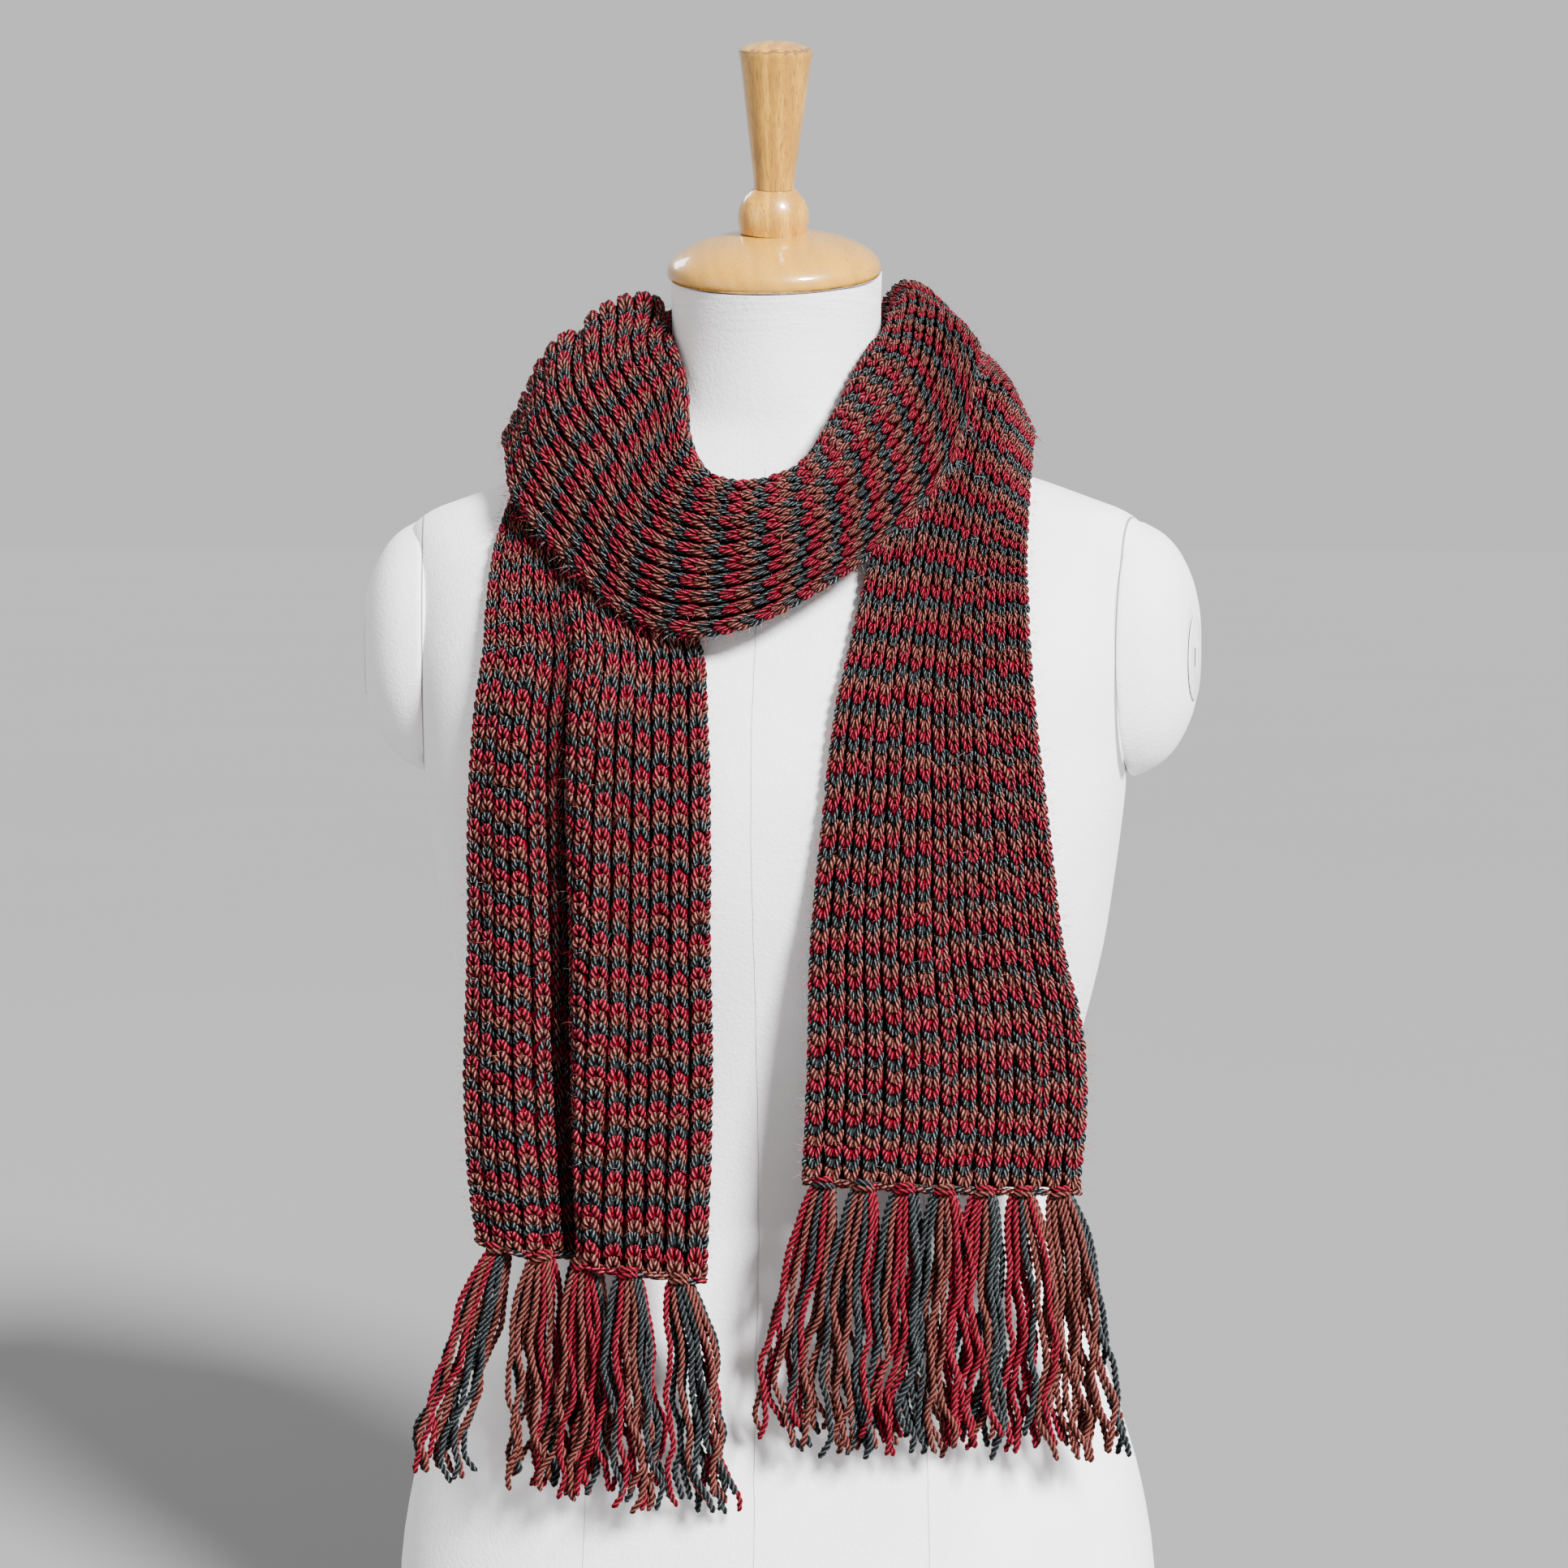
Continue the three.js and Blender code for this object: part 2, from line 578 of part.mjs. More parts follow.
// Scarf, cut into stretches at the shoulders
const shoulder = LEFT_TAIL.length - 1;
const rowAt = (turn) => LEFT_TAIL.length + WINDING.findIndex((row) => row.turn === turn);
const lastRow = STATIONS.length - 1;
const STRETCHES = [
  { name: 'scarf_tail_left', from: 0, to: shoulder },
  { name: 'scarf_back_inner', from: shoulder, to: rowAt(270) },
  { name: 'scarf_front_loop', from: rowAt(270), to: rowAt(450) },
  { name: 'scarf_back_outer', from: rowAt(450), to: LEFT_TAIL.length + WINDING.length },
  { name: 'scarf_tail_right', from: LEFT_TAIL.length + WINDING.length, to: lastRow },
];
for (const { name, from, to } of STRETCHES) {
  addPiece(name, scarfStretch(from, to), FINISH.knit);
}
addPiece('fringe_left', fringeBody(FRINGE_LEFT, 0, -1), FINISH.fringe);
addPiece('fringe_right', fringeBody(FRINGE_RIGHT, lastRow, 1), FINISH.fringe);

export default object;
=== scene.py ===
"""Looks of a chunky rib-knit scarf wound round a limbless dress form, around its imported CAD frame.

Metres, +Z up. The form faces -Y. Tables hold millimetres, as in the part's source, and MM turns them
to metres.
"""

import logging
import math
from collections.abc import Callable
from dataclasses import dataclass, field
from enum import Enum

import bpy
import numpy as np
from mathutils import Matrix, Vector


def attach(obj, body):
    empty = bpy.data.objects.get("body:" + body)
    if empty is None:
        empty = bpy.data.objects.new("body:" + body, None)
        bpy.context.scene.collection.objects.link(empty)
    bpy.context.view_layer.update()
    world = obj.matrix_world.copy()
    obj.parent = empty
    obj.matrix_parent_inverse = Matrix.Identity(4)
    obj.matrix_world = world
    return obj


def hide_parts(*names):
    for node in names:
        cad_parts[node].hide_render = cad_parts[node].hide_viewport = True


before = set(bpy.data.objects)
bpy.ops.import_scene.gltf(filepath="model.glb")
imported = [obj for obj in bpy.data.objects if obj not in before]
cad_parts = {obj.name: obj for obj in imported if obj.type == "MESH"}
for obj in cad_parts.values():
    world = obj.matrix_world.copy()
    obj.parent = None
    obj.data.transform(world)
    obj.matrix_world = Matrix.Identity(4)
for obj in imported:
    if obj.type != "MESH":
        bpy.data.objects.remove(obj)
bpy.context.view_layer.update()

log = logging.getLogger("scarf")
MM = 0.001
BODY = "root"
Socket = bpy.types.NodeSocket
Piece = bpy.types.Object
Material = bpy.types.Material
Colour = tuple[float, float, float, float]
Array = np.ndarray
Rng = np.random.Generator


class Side(Enum):
    """The viewer's left and right, as the sign of X."""

    LEFT = -1
    RIGHT = 1


class Yarn(Enum):
    """The three plied yarns, in the order of the rows. The row on both hems is rose."""

    CHARCOAL = 0
    ROSE = 1
    RED = 2


# Node trees


@dataclass(frozen=True)
class Grain:
    """A noise texture: cycles a metre, detail, roughness and distortion."""

    scale: float
    detail: float = 2.0
    rough: float = 0.5
    distortion: float = 0.0


YARN_FIBRES = Grain(2600, 3, 0.6)
LOOSE_FIBRES = Grain(900, 2, 0.6)
KNIT_FIBRES = Grain(1600, 3, 0.6)
CREPE_SWIRL = Grain(420, 3, distortion=1.2)
CREPE_THREADS = Grain(1900, 2, 0.6)
CREPE_MOTTLE = Grain(14, 3, 0.55)
CREPE_CELLS = 520.0
NECK_GATHERS = Grain(150, 2, 0.6)
SEAM_WANDER = Grain(22, 1)
WOOD_WARP = Grain(60)
WOOD_STREAKS = Grain(700, 3, 0.6)
WOOD_PORES = Grain(1500)
WOOD_PATCHES = Grain(38, 3, 0.6)
WOOD_LINES = Grain(1150)
WOOD_SPECKS = Grain(520, 4, 0.7)
WOOD_CHIPS = Grain(260, 3, 0.7)
WOOD_RINGS = {"Scale": 34, "Distortion": 7, "Detail": 3, "Detail Scale": 1.4}
PAINT_SCUFFS = Grain(160, 4, 0.65)
PAINT_SKIN = Grain(420)
FLOOR_TONE = Grain(1.3)


class Value:
    """A shader socket on which plain arithmetic works."""

    def __init__(self, nodes: "Nodes", socket: Socket) -> None:
        """Keeps the socket and the calls of its tree."""
        self.nodes = nodes
        self.socket = socket

    def math(self, operation: str, other: object = None) -> "Value":
        """The result of one Math node on this value."""
        return self.nodes.read("Math", {0: self, 1: other}, operation=operation)

    def __add__(self, other: object) -> "Value":
        """The sum."""
        return self.math("ADD", other)

    def __sub__(self, other: object) -> "Value":
        """The difference."""
        return self.math("SUBTRACT", other)

    def __mul__(self, other: object) -> "Value":
        """The product."""
        return self.math("MULTIPLY", other)

    def __truediv__(self, other: object) -> "Value":
        """The quotient."""
        return self.math("DIVIDE", other)

    def __gt__(self, other: object) -> "Value":
        """1 where this value is the greater one, 0 elsewhere."""
        return self.math("GREATER_THAN", other)

    def __lt__(self, other: object) -> "Value":
        """1 where this value is the lesser one, 0 elsewhere."""
        return self.math("LESS_THAN", other)

    def __abs__(self) -> "Value":
        """The value without its sign."""
        return self.math("ABSOLUTE")

    def span(self, low: float, high: float, start: float = 0.0, end: float = 1.0) -> "Value":
        """Maps low..high onto start..end with soft ends."""
        inputs = {"Value": self, "From Min": low, "From Max": high, "To Min": start, "To Max": end}
        return self.nodes.read("MapRange", inputs, interpolation_type="SMOOTHSTEP")

    def axes(self) -> list["Value"]:
        """The X, Y and Z of a place."""
        return [Value(self.nodes, socket) for socket in self.nodes.add("SeparateXYZ", {0: self}).outputs]

    def scaled(self, *scale: float) -> "Value":
        """The place with its axes scaled."""
        return self.nodes.read("Mapping", {"Vector": self, "Scale": scale})

    def noise(self, grain: Grain) -> "Value":
        """The noise texture's value at the place."""
        inputs = {"Vector": self, "Scale": grain.scale, "Detail": grain.detail, "Roughness": grain.rough,
                  "Distortion": grain.distortion}
        return self.nodes.read("TexNoise", inputs, "Fac")


class Nodes:
    """A node tree with short calls that add and link its nodes."""

    def __init__(self, tree: bpy.types.NodeTree) -> None:
        """Keeps the tree that the calls add to."""
        self.tree = tree

    def put(self, socket: Socket, value: object) -> None:
        """Links a value to the input, or sets the input's own value."""
        if isinstance(value, Value):
            self.tree.links.new(value.socket, socket)
        elif value is not None:
            socket.default_value = value

    def add(self, kind: str, inputs: dict | None = None, **settings: object) -> bpy.types.Node:
        """Adds one node.

        Args:
            kind: The node's type name after ShaderNode.
            inputs: Input values or links, by input name or number.
            settings: Properties of the node.

        Returns:
            The new node.
        """
        node = self.tree.nodes.new("ShaderNode" + kind)
        for name, value in settings.items():
            setattr(node, name, value)
        for name, value in (inputs or {}).items():
            self.put(node.inputs[name], value)
        return node

    def read(self, kind: str, inputs: dict | None = None, output: int | str = 0,
             **settings: object) -> Value:
        """Adds one node and returns one of its outputs."""
        return Value(self, self.add(kind, inputs, **settings).outputs[output])

    def group(self, tree: bpy.types.NodeTree, inputs: dict) -> dict[str, Value]:
        """Adds a shader group and returns its outputs by name."""
        return {out.name: Value(self, out) for out in self.add("Group", inputs, node_tree=tree).outputs}

    def blend(self, share: Value, first: object, second: object) -> Value:
        """Mixes two colours."""
        return self.read("Mix", {0: share, 6: first, 7: second}, 2, data_type="RGBA")

    def bump(self, height: Value, depth: float, strength: float = 1.0, under: Value | None = None) -> Value:
        """The normal of a Bump node, on top of another one's where it is given."""
        return self.read("Bump", {"Height": height, "Distance": depth, "Strength": strength, "Normal": under})


def new_group(name: str, inputs: dict[str, str], fill: Callable[..., dict[str, Value]]) -> bpy.types.NodeTree:
    """Makes a shader group.

    Args:
        name: The group's name.
        inputs: Socket types by input name.
        fill: Adds the group's nodes from its inputs, and returns its outputs by name.

    Returns:
        The group's tree.
    """
    tree = bpy.data.node_groups.new(name, "ShaderNodeTree")
    for label, kind in inputs.items():
        tree.interface.new_socket(name=label, in_out="INPUT", socket_type="NodeSocket" + kind)
    nodes = Nodes(tree)
    given = tree.nodes.new("NodeGroupInput").outputs
    results = fill(*(Value(nodes, given[label]) for label in inputs))
    for label in results:
        tree.interface.new_socket(name=label, in_out="OUTPUT", socket_type="NodeSocketFloat")
    taken = tree.nodes.new("NodeGroupOutput").inputs
    for label, value in results.items():
        nodes.put(taken[label], value)
    return tree


def twist(around: Value, along: Value, plies: Value, turn: Value, fibre: Value) -> dict[str, Value]:
    """Plies of a twisted yarn, from the place round it and along it and the length of one turn."""
    phase = (around + along / turn) * plies
    ridge = (phase * (2 * math.pi)).math("COSINE") * 0.5 + 0.5
    fibres = fibre.noise(YARN_FIBRES)
    loose = fibre.noise(LOOSE_FIBRES)
    # The glint output is a painted highlight on the ply ridges, where single fibres would catch the light
    return {"Ridge": ridge, "Fibres": (fibres + loose) * 0.5, "Glint": (ridge * fibres).span(0.4, 0.62)}


def crepe(place: Value) -> dict[str, Value]:
    """Fine crepe of the form's cover: Height in 0 to 1 for a bump, and Mottle for its colour."""
    cells = {"Vector": place, "Scale": CREPE_CELLS}
    crease = place.nodes.read("TexVoronoi", cells, "Distance", feature="SMOOTH_F1")
    height = place.noise(CREPE_SWIRL) * 0.6 + crease * 0.3 + place.noise(CREPE_THREADS) * 0.25
    return {"Height": height, "Mottle": place.noise(CREPE_MOTTLE)}


def timber(place: Value) -> dict[str, Value]:
    """Straight-grained pale timber, whose place has its Z along the grain."""
    drawn = place.scaled(1, 1, 0.07)
    waves = {"Vector": drawn, **WOOD_RINGS}
    rings = place.nodes.read("TexWave", waves, "Fac", wave_type="BANDS", bands_direction="X")
    streaks = place.scaled(1, 1, 0.03).noise(WOOD_STREAKS)
    pores = place.scaled(1, 1, 0.09).noise(WOOD_PORES).span(0.6, 0.74)
    figure = (rings * 0.25 + streaks * 0.75 + drawn.noise(WOOD_WARP)) * 0.5
    return {"Figure": figure, "Pores": pores, "Patches": place.noise(WOOD_PATCHES)}


YARN_PLACE = {"Around": "Float", "Along": "Float", "Plies": "Float", "Turn": "Float", "Fibre": "Vector"}
TWIST = new_group("yarn_twist", YARN_PLACE, twist)
JERSEY = new_group("jersey_grain", {"Place": "Vector"}, crepe)
TIMBER = new_group("timber_grain", {"Place": "Vector"}, timber)


class Coat:
    """A material in the making: its nodes, its one shader and the place on the piece."""

    def __init__(self, name: str) -> None:
        """Makes the material."""
        self.material = bpy.data.materials.new(name)
        self.material.use_nodes = True
        self.nodes = Nodes(self.material.node_tree)
        self.shader = next(n for n in self.nodes.tree.nodes if n.type == "BSDF_PRINCIPLED")
        self.spot = self.nodes.read("TexCoord", output="Object")

    def finish(self, colour: Value, rough: Value | float, normal: Value | None = None,
               **plain: float) -> Material:
        """Gives the shader its values.

        Args:
            colour: The base colour.
            rough: The roughness.
            normal: The bumped normal, or None.
            plain: Plain values by socket name, with _ for a space.

        Returns:
            The finished material.
        """
        values = {"Base Color": colour, "Roughness": rough, "Normal": normal, **plain}
        for name, value in values.items():
            self.nodes.put(self.shader.inputs[name.replace("_", " ")], value)
        return self.material


# Finishes


@dataclass(frozen=True)
class YarnFinish:
    """One plied yarn: its colour on the plies, painted shade in the grooves, and a painted highlight where
    single fibres would catch the light.
    """

    name: str
    painted_groove_shade: Colour
    ply: Colour
    glint: Colour
    plies: float = 3.0
    turn: float = 8.5 * MM
    thickness: float = 1.05
    ply_relief: float = 0.9 * MM
    fibre_relief: float = 0.5 * MM

    def build(self, spun: bool = False) -> Material:
        """Makes the material.

        Args:
            spun: True where the mesh's own sides follow the plies, as on the fringe.

        Returns:
            The material.
        """
        coat = Coat(self.name + ("_spun" if spun else ""))
        nodes = coat.nodes
        # Shares of the painted highlight and of the ply relief; the spun fringe gets half the painted
        # highlight
        drawn, painted_highlight_share, relief = (0.0, 0.5, 0.0) if spun else (1.0, 1.0, 0.85)
        around, along, _ = nodes.read("UVMap", uv_map="Yarn").axes()
        inputs = {"Around": around, "Along": along * drawn, "Plies": self.plies, "Turn": self.turn,
                  "Fibre": coat.spot}
        yarn = nodes.group(TWIST, inputs)
        fibres = yarn["Fibres"]
        # Painted shade: darker towards the near-black groove colour between the plies
        colour = nodes.blend(yarn["Ridge"].span(0.1, 0.75), self.painted_groove_shade, self.ply)
        # Painted highlight: lighter colour on the ply ridges
        colour = nodes.blend(yarn["Glint"] * painted_highlight_share, colour, self.glint)
        # Random dark fibres, mixed in with the painted groove shade colour
        colour = nodes.blend(fibres.span(0.35, 0.62, 0.55, 0.0), colour, self.painted_groove_shade)
        # Each stitch's shade: random tone, with painted shade in the left tail's crease and over the drawn-in
        # loop
        shade = nodes.read("Attribute", output="Fac", attribute_name="shade")
        toned = nodes.read("HueSaturation", {"Color": colour, "Value": shade + 0.5})
        normal = nodes.bump(yarn["Ridge"], self.ply_relief, relief)
        normal = nodes.bump(fibres, self.fibre_relief, 0.7, normal)
        return coat.finish(toned, fibres.span(0.3, 0.7, 0.62, 0.9), normal, Specular_IOR_Level=0.1)


# Each yarn: painted shade in its grooves, its ply colour, and a painted highlight
YARNS = {
    Yarn.CHARCOAL: YarnFinish("yarn_charcoal", (0.001, 0.001, 0.0012, 1), (0.028, 0.034, 0.037, 1),
                              (0.29, 0.325, 0.335, 1), thickness=0.84),
    Yarn.ROSE: YarnFinish("yarn_rose", (0.012, 0.002, 0.001, 1), (0.188, 0.046, 0.037, 1),
                          (0.55, 0.22, 0.18, 1)),
    Yarn.RED: YarnFinish("yarn_red", (0.012, 0.0002, 0.0006, 1), (0.26, 0.0015, 0.018, 1),
                         (0.68, 0.05, 0.11, 1)),
}


@dataclass(frozen=True)
class KnitFaceFinish:
    """The knitted ground under the raised stitches and on the scarf's plain side, striped row by row, with
    painted shade in the valleys between ribs and between rows.
    """

    name: str = "knit_ground"
    # Share of the colour kept in the valleys between the ribs: painted shade
    valley_painted_shade: float = 0.08
    slant: float = 1.4
    relief: float = 1.5 * MM

    def build(self) -> Material:
        """Makes the material. The Knit UV map counts ribs across and rows along."""
        coat = Coat(self.name)
        nodes = coat.nodes
        across, along, _ = nodes.read("UVMap", uv_map="Knit").axes()
        aside = abs(across.math("FRACT") - 0.5)
        row = along + 1.0 + aside * self.slant
        count = row.math("FLOOR").math("FLOORED_MODULO", float(len(Yarn)))
        ground = nodes.blend(count > 0.5, YARNS[Yarn.CHARCOAL].ply, YARNS[Yarn.ROSE].ply)
        ground = nodes.blend(count > 1.5, ground, YARNS[Yarn.RED].ply)
        leg = abs(row.math("FRACT") - 0.5).span(0.5, 0.1)
        fibres = coat.spot.noise(KNIT_FIBRES)
        rib = aside.span(0.5, 0.26, self.valley_painted_shade, 1.0)
        # Painted shade between the rows' legs and in the rib valleys, times random fibre tone
        light = leg.span(0, 1, 0.12, 0.6) * rib * fibres.span(0.25, 0.7, 0.6, 1.15)
        colour = nodes.read("HueSaturation", {"Color": ground, "Value": light})
        normal = nodes.bump(leg * rib + fibres * 0.3, self.relief)
        return coat.finish(colour, fibres.span(0.3, 0.7, 0.75, 0.95), normal, Specular_IOR_Level=0.0)


@dataclass(frozen=True)
class JerseyFinish:
    """White stretch cover of the form, with its sewn seams where a piece has them."""

    name: str
    # The armhole's distance from the middle, its depth behind the front axis and its toe in degrees
    armhole: tuple[float, float, float]
    white: Colour = (0.95, 0.925, 0.932, 1)
    dull: Colour = (0.885, 0.85, 0.858, 1)
    seam: Colour = (0.42, 0.39, 0.39, 1)
    joint: Colour = (0.16, 0.148, 0.145, 1)
    seam_half: float = 0.5 * MM
    seam_depth: float = 0.6 * MM
    seam_wander: float = 3 * MM
    centre_seam: bool = False
    crepe_depth: float = 0.7 * MM
    armhole_from: float = 440.0
    armhole_out: float = 0.3
    panel_x: float = 90.0
    panel_slope: float = -0.03
    collar_z: float = 645.0
    collar_slope: float = 0.32
    collar_half: float = 85.0
    collar_clear: float = 12.0
    gathers_depth: float = 2.2 * MM
    gathers_span: tuple[float, float] = (0.685, 0.725)

    def build(self) -> Material:
        """Makes the material."""
        coat = Coat(self.name)
        nodes = coat.nodes
        grain = nodes.group(JERSEY, {"Place": coat.spot})
        colour = nodes.blend(grain["Mottle"].span(0.35, 0.7), self.dull, self.white)
        colour = nodes.blend(self.armhole_mask(coat.spot) * 0.9, colour, self.joint)
        normal = nodes.bump(grain["Height"], self.crepe_depth, 0.7)
        if self.centre_seam:
            line = self.seam_mask(coat.spot)
            colour = nodes.blend(line * 0.3, colour, self.seam)
            normal = nodes.bump(line, -self.seam_depth, 0.8, normal)
            normal = nodes.bump(self.gathers(coat.spot), self.gathers_depth, 0.6, normal)
        rough = grain["Height"].span(0.3, 0.9, 0.82, 0.95)
        return coat.finish(colour, rough, normal, Sheen_Weight=0.15, Specular_IOR_Level=0.25)

    def armhole_mask(self, spot: Value) -> Value:
        """1 on the plane in which each arm cap is sewn to the torso, 0 elsewhere."""
        x, y, z = spot.axes()
        reach, depth, toe = self.armhole
        turn = math.radians(toe)
        out = (abs(x) - reach * MM) * math.cos(turn) - (y - depth * MM) * math.sin(turn)
        line = abs(out - self.armhole_out * MM).span(self.seam_half * 1.3, self.seam_half * 0.5)
        return line * (z > self.armhole_from * MM)

    def gathers(self, spot: Value) -> Value:
        """Faint level creases where the cover is drawn in under the neck's wood."""
        return spot.scaled(0.16, 0.16, 1).noise(NECK_GATHERS) * spot.axes()[2].span(*self.gathers_span)

    def sewn(self, off: Value) -> Value:
        """1 within a seam's half width of a line, 0 elsewhere."""
        return abs(off).span(self.seam_half, self.seam_half * 0.4)

    def seam_mask(self, spot: Value) -> Value:
        """1 on the centre seams, the panel seams on both sides and the collar seam, 0 elsewhere."""
        x, y, z = spot.axes()
        across = abs(x + (spot.noise(SEAM_WANDER) - 0.5) * self.seam_wander)
        low = z < (self.collar_z - self.collar_clear) * MM
        panels = self.sewn(across - (z * self.panel_slope + self.panel_x * MM)) * low
        collar = self.sewn(z - y * self.collar_slope - self.collar_z * MM) * (across < self.collar_half * MM)
        return (self.sewn(across) * low).math("MAXIMUM", panels).math("MAXIMUM", collar)


@dataclass(frozen=True)
class TimberFinish:
    """Pale varnished hardwood, worn dark along its turned edges."""

    name: str
    centre: tuple[float, float, float]
    lean: float
    flat_sawn: bool = False
    edge_heights: tuple[float, ...] = ()
    light: Colour = (0.66, 0.335, 0.026, 1)
    dark: Colour = (0.41, 0.185, 0.012, 1)
    worn: Colour = (0.11, 0.05, 0.022, 1)
    worn_reach: float = 1.1 * MM
    worn_least: float = 0.25 * MM

    def build(self) -> Material:
        """Makes the material. Its own Z runs up the leaning neck, or across it for flat-sawn wood."""
        coat = Coat(self.name)
        nodes = coat.nodes
        back = Matrix.Rotation(-self.lean, 4, "X") @ Matrix.Translation(-Vector(self.centre))
        inputs = {"Vector": coat.spot, "Location": back.to_translation(), "Rotation": (-self.lean, 0, 0)}
        turned = nodes.read("Mapping", inputs)
        laid = nodes.read("Mapping", {"Vector": turned, "Rotation": (math.pi / 2, 0, 0.5)})
        grain = nodes.group(TIMBER, {"Place": laid if self.flat_sawn else turned})
        low, high, lines = (0.4, 0.7, 0.12) if self.flat_sawn else (0.0, 1.0, 0.42)
        colour = nodes.blend(grain["Figure"].span(0.38, 0.6, low, high), self.light, self.dark)
        fine = turned.scaled(1, 1, 0.022).noise(WOOD_LINES).span(0.56, 0.64, 0.0, lines)
        specks = coat.spot.noise(WOOD_SPECKS).span(0.69, 0.73, 0.0, 0.6)
        for mark in (fine, specks, grain["Pores"] * 0.5):
            colour = nodes.blend(mark, colour, self.worn)
        colour = nodes.blend(grain["Patches"].span(0.6, 0.78, 0, 0.3), colour, self.dark)
        height = turned.axes()[2]
        for level in self.edge_heights:
            reach = turned.noise(WOOD_CHIPS).span(0.42, 0.62) * self.worn_reach
            chipped = abs(height - level) < reach + self.worn_least
            colour = nodes.blend(chipped * 0.75, colour, self.worn)
        rough = grain["Figure"].span(0.3, 0.7, 0.26, 0.4)
        normal = nodes.bump(grain["Pores"], -0.12 * MM, 0.5)
        return coat.finish(colour, rough, normal, Coat_Weight=0.9, Coat_Roughness=0.06, Coat_IOR=1.5)


@dataclass(frozen=True)
class PaintFinish:
    """White lacquer on the arm discs, or near-black painted shade inside their slots, with faint scuffs."""

    name: str
    base: Colour
    scuffed: Colour
    rough: float = 0.35

    def build(self) -> Material:
        """Makes the material."""
        coat = Coat(self.name)
        scuffs = coat.spot.noise(PAINT_SCUFFS)
        colour = coat.nodes.blend(scuffs.span(0.55, 0.72, 0, 0.6), self.base, self.scuffed)
        rough = scuffs.span(0.3, 0.75, self.rough, self.rough + 0.25)
        return coat.finish(colour, rough, coat.nodes.bump(coat.spot.noise(PAINT_SKIN), 0.08 * MM, 0.4))


@dataclass(frozen=True)
class FloorFinish:
    """Pale matt studio floor with a barely uneven tone."""

    name: str = "studio_floor"
    pale: Colour = (0.228, 0.228, 0.227, 1)
    soft: Colour = (0.221, 0.22, 0.218, 1)

    def build(self) -> Material:
        """Makes the material."""
        coat = Coat(self.name)
        colour = coat.nodes.blend(coat.spot.noise(FLOOR_TONE), self.pale, self.soft)
        return coat.finish(colour, 0.85, Specular_IOR_Level=0.2)


# Meshes


def clear_selection() -> None:
    """Leaves edit mode and deselects everything."""
    if bpy.context.mode != "OBJECT":
        bpy.ops.object.mode_set(mode="OBJECT")
    bpy.ops.object.select_all(action="DESELECT")


def wear(piece: Piece, *materials: Material) -> None:
    """Gives a piece its materials, in the order of its faces' numbers."""
    piece.data.materials.clear()
    for material in materials:
        piece.data.materials.append(material)


def finish_piece(piece: Piece, nodes: tuple[str, ...] = ()) -> Piece:
    """Rides a piece on the part's body and reports it.

    Args:
        piece: The finished piece, at the origin.
        nodes: CAD nodes that it stands for.

    Returns:
        The piece.
    """
    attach(piece, BODY)
    if nodes:
        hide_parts(*nodes)
    log.info("%s: %d vertices, %d faces", piece.name, len(piece.data.vertices), len(piece.data.polygons))
    return piece


def drawn_out(name: str, rings: Array) -> Piece:
    """A closed form drawn up from a filled circle ring by ring, then set to the rings' places.

    Args:
        name: The piece's name.
        rings: Places of shape (rings, sides, 3), all wound the same way.

    Returns:
        The piece, smooth and closed, with its faces outwards.
    """
    count, sides = rings.shape[:2]
    clear_selection()
    bpy.ops.mesh.primitive_circle_add(vertices=sides, radius=1, fill_type="NGON")
    piece = bpy.context.active_object
    piece.name = name
    bpy.ops.object.mode_set(mode="EDIT")
    bpy.ops.mesh.select_all(action="SELECT")
    for _ in range(count - 1):
        bpy.ops.mesh.extrude_region_move(TRANSFORM_OT_translate={"value": (0, 0, 1)})
    bpy.ops.object.mode_set(mode="OBJECT")
    for vertex in piece.data.vertices:
        ring = round(vertex.co.z)
        turn = round(math.atan2(vertex.co.y, vertex.co.x) / (2 * math.pi) * sides) % sides
        vertex.co = rings[ring, turn]
    smooth_outwards(38)
    return piece


def smooth_outwards(degrees: float) -> None:
    """Turns the active piece's faces outwards and smooths its edges up to an angle."""
    bpy.ops.object.mode_set(mode="EDIT")
    bpy.ops.mesh.select_all(action="SELECT")
    bpy.ops.mesh.normals_make_consistent(inside=False)
    bpy.ops.object.mode_set(mode="OBJECT")
    bpy.ops.object.shade_smooth_by_angle(angle=math.radians(degrees))


def apply_modifier(piece: Piece, kind: str, **settings: object) -> None:
    """Adds a modifier, sets it and applies it."""
    clear_selection()
    piece.select_set(True)
    bpy.context.view_layer.objects.active = piece
    modifier = piece.modifiers.new(kind.lower(), kind)
    for key, value in settings.items():
        setattr(modifier, key, value)
    bpy.ops.object.modifier_apply(modifier=modifier.name)


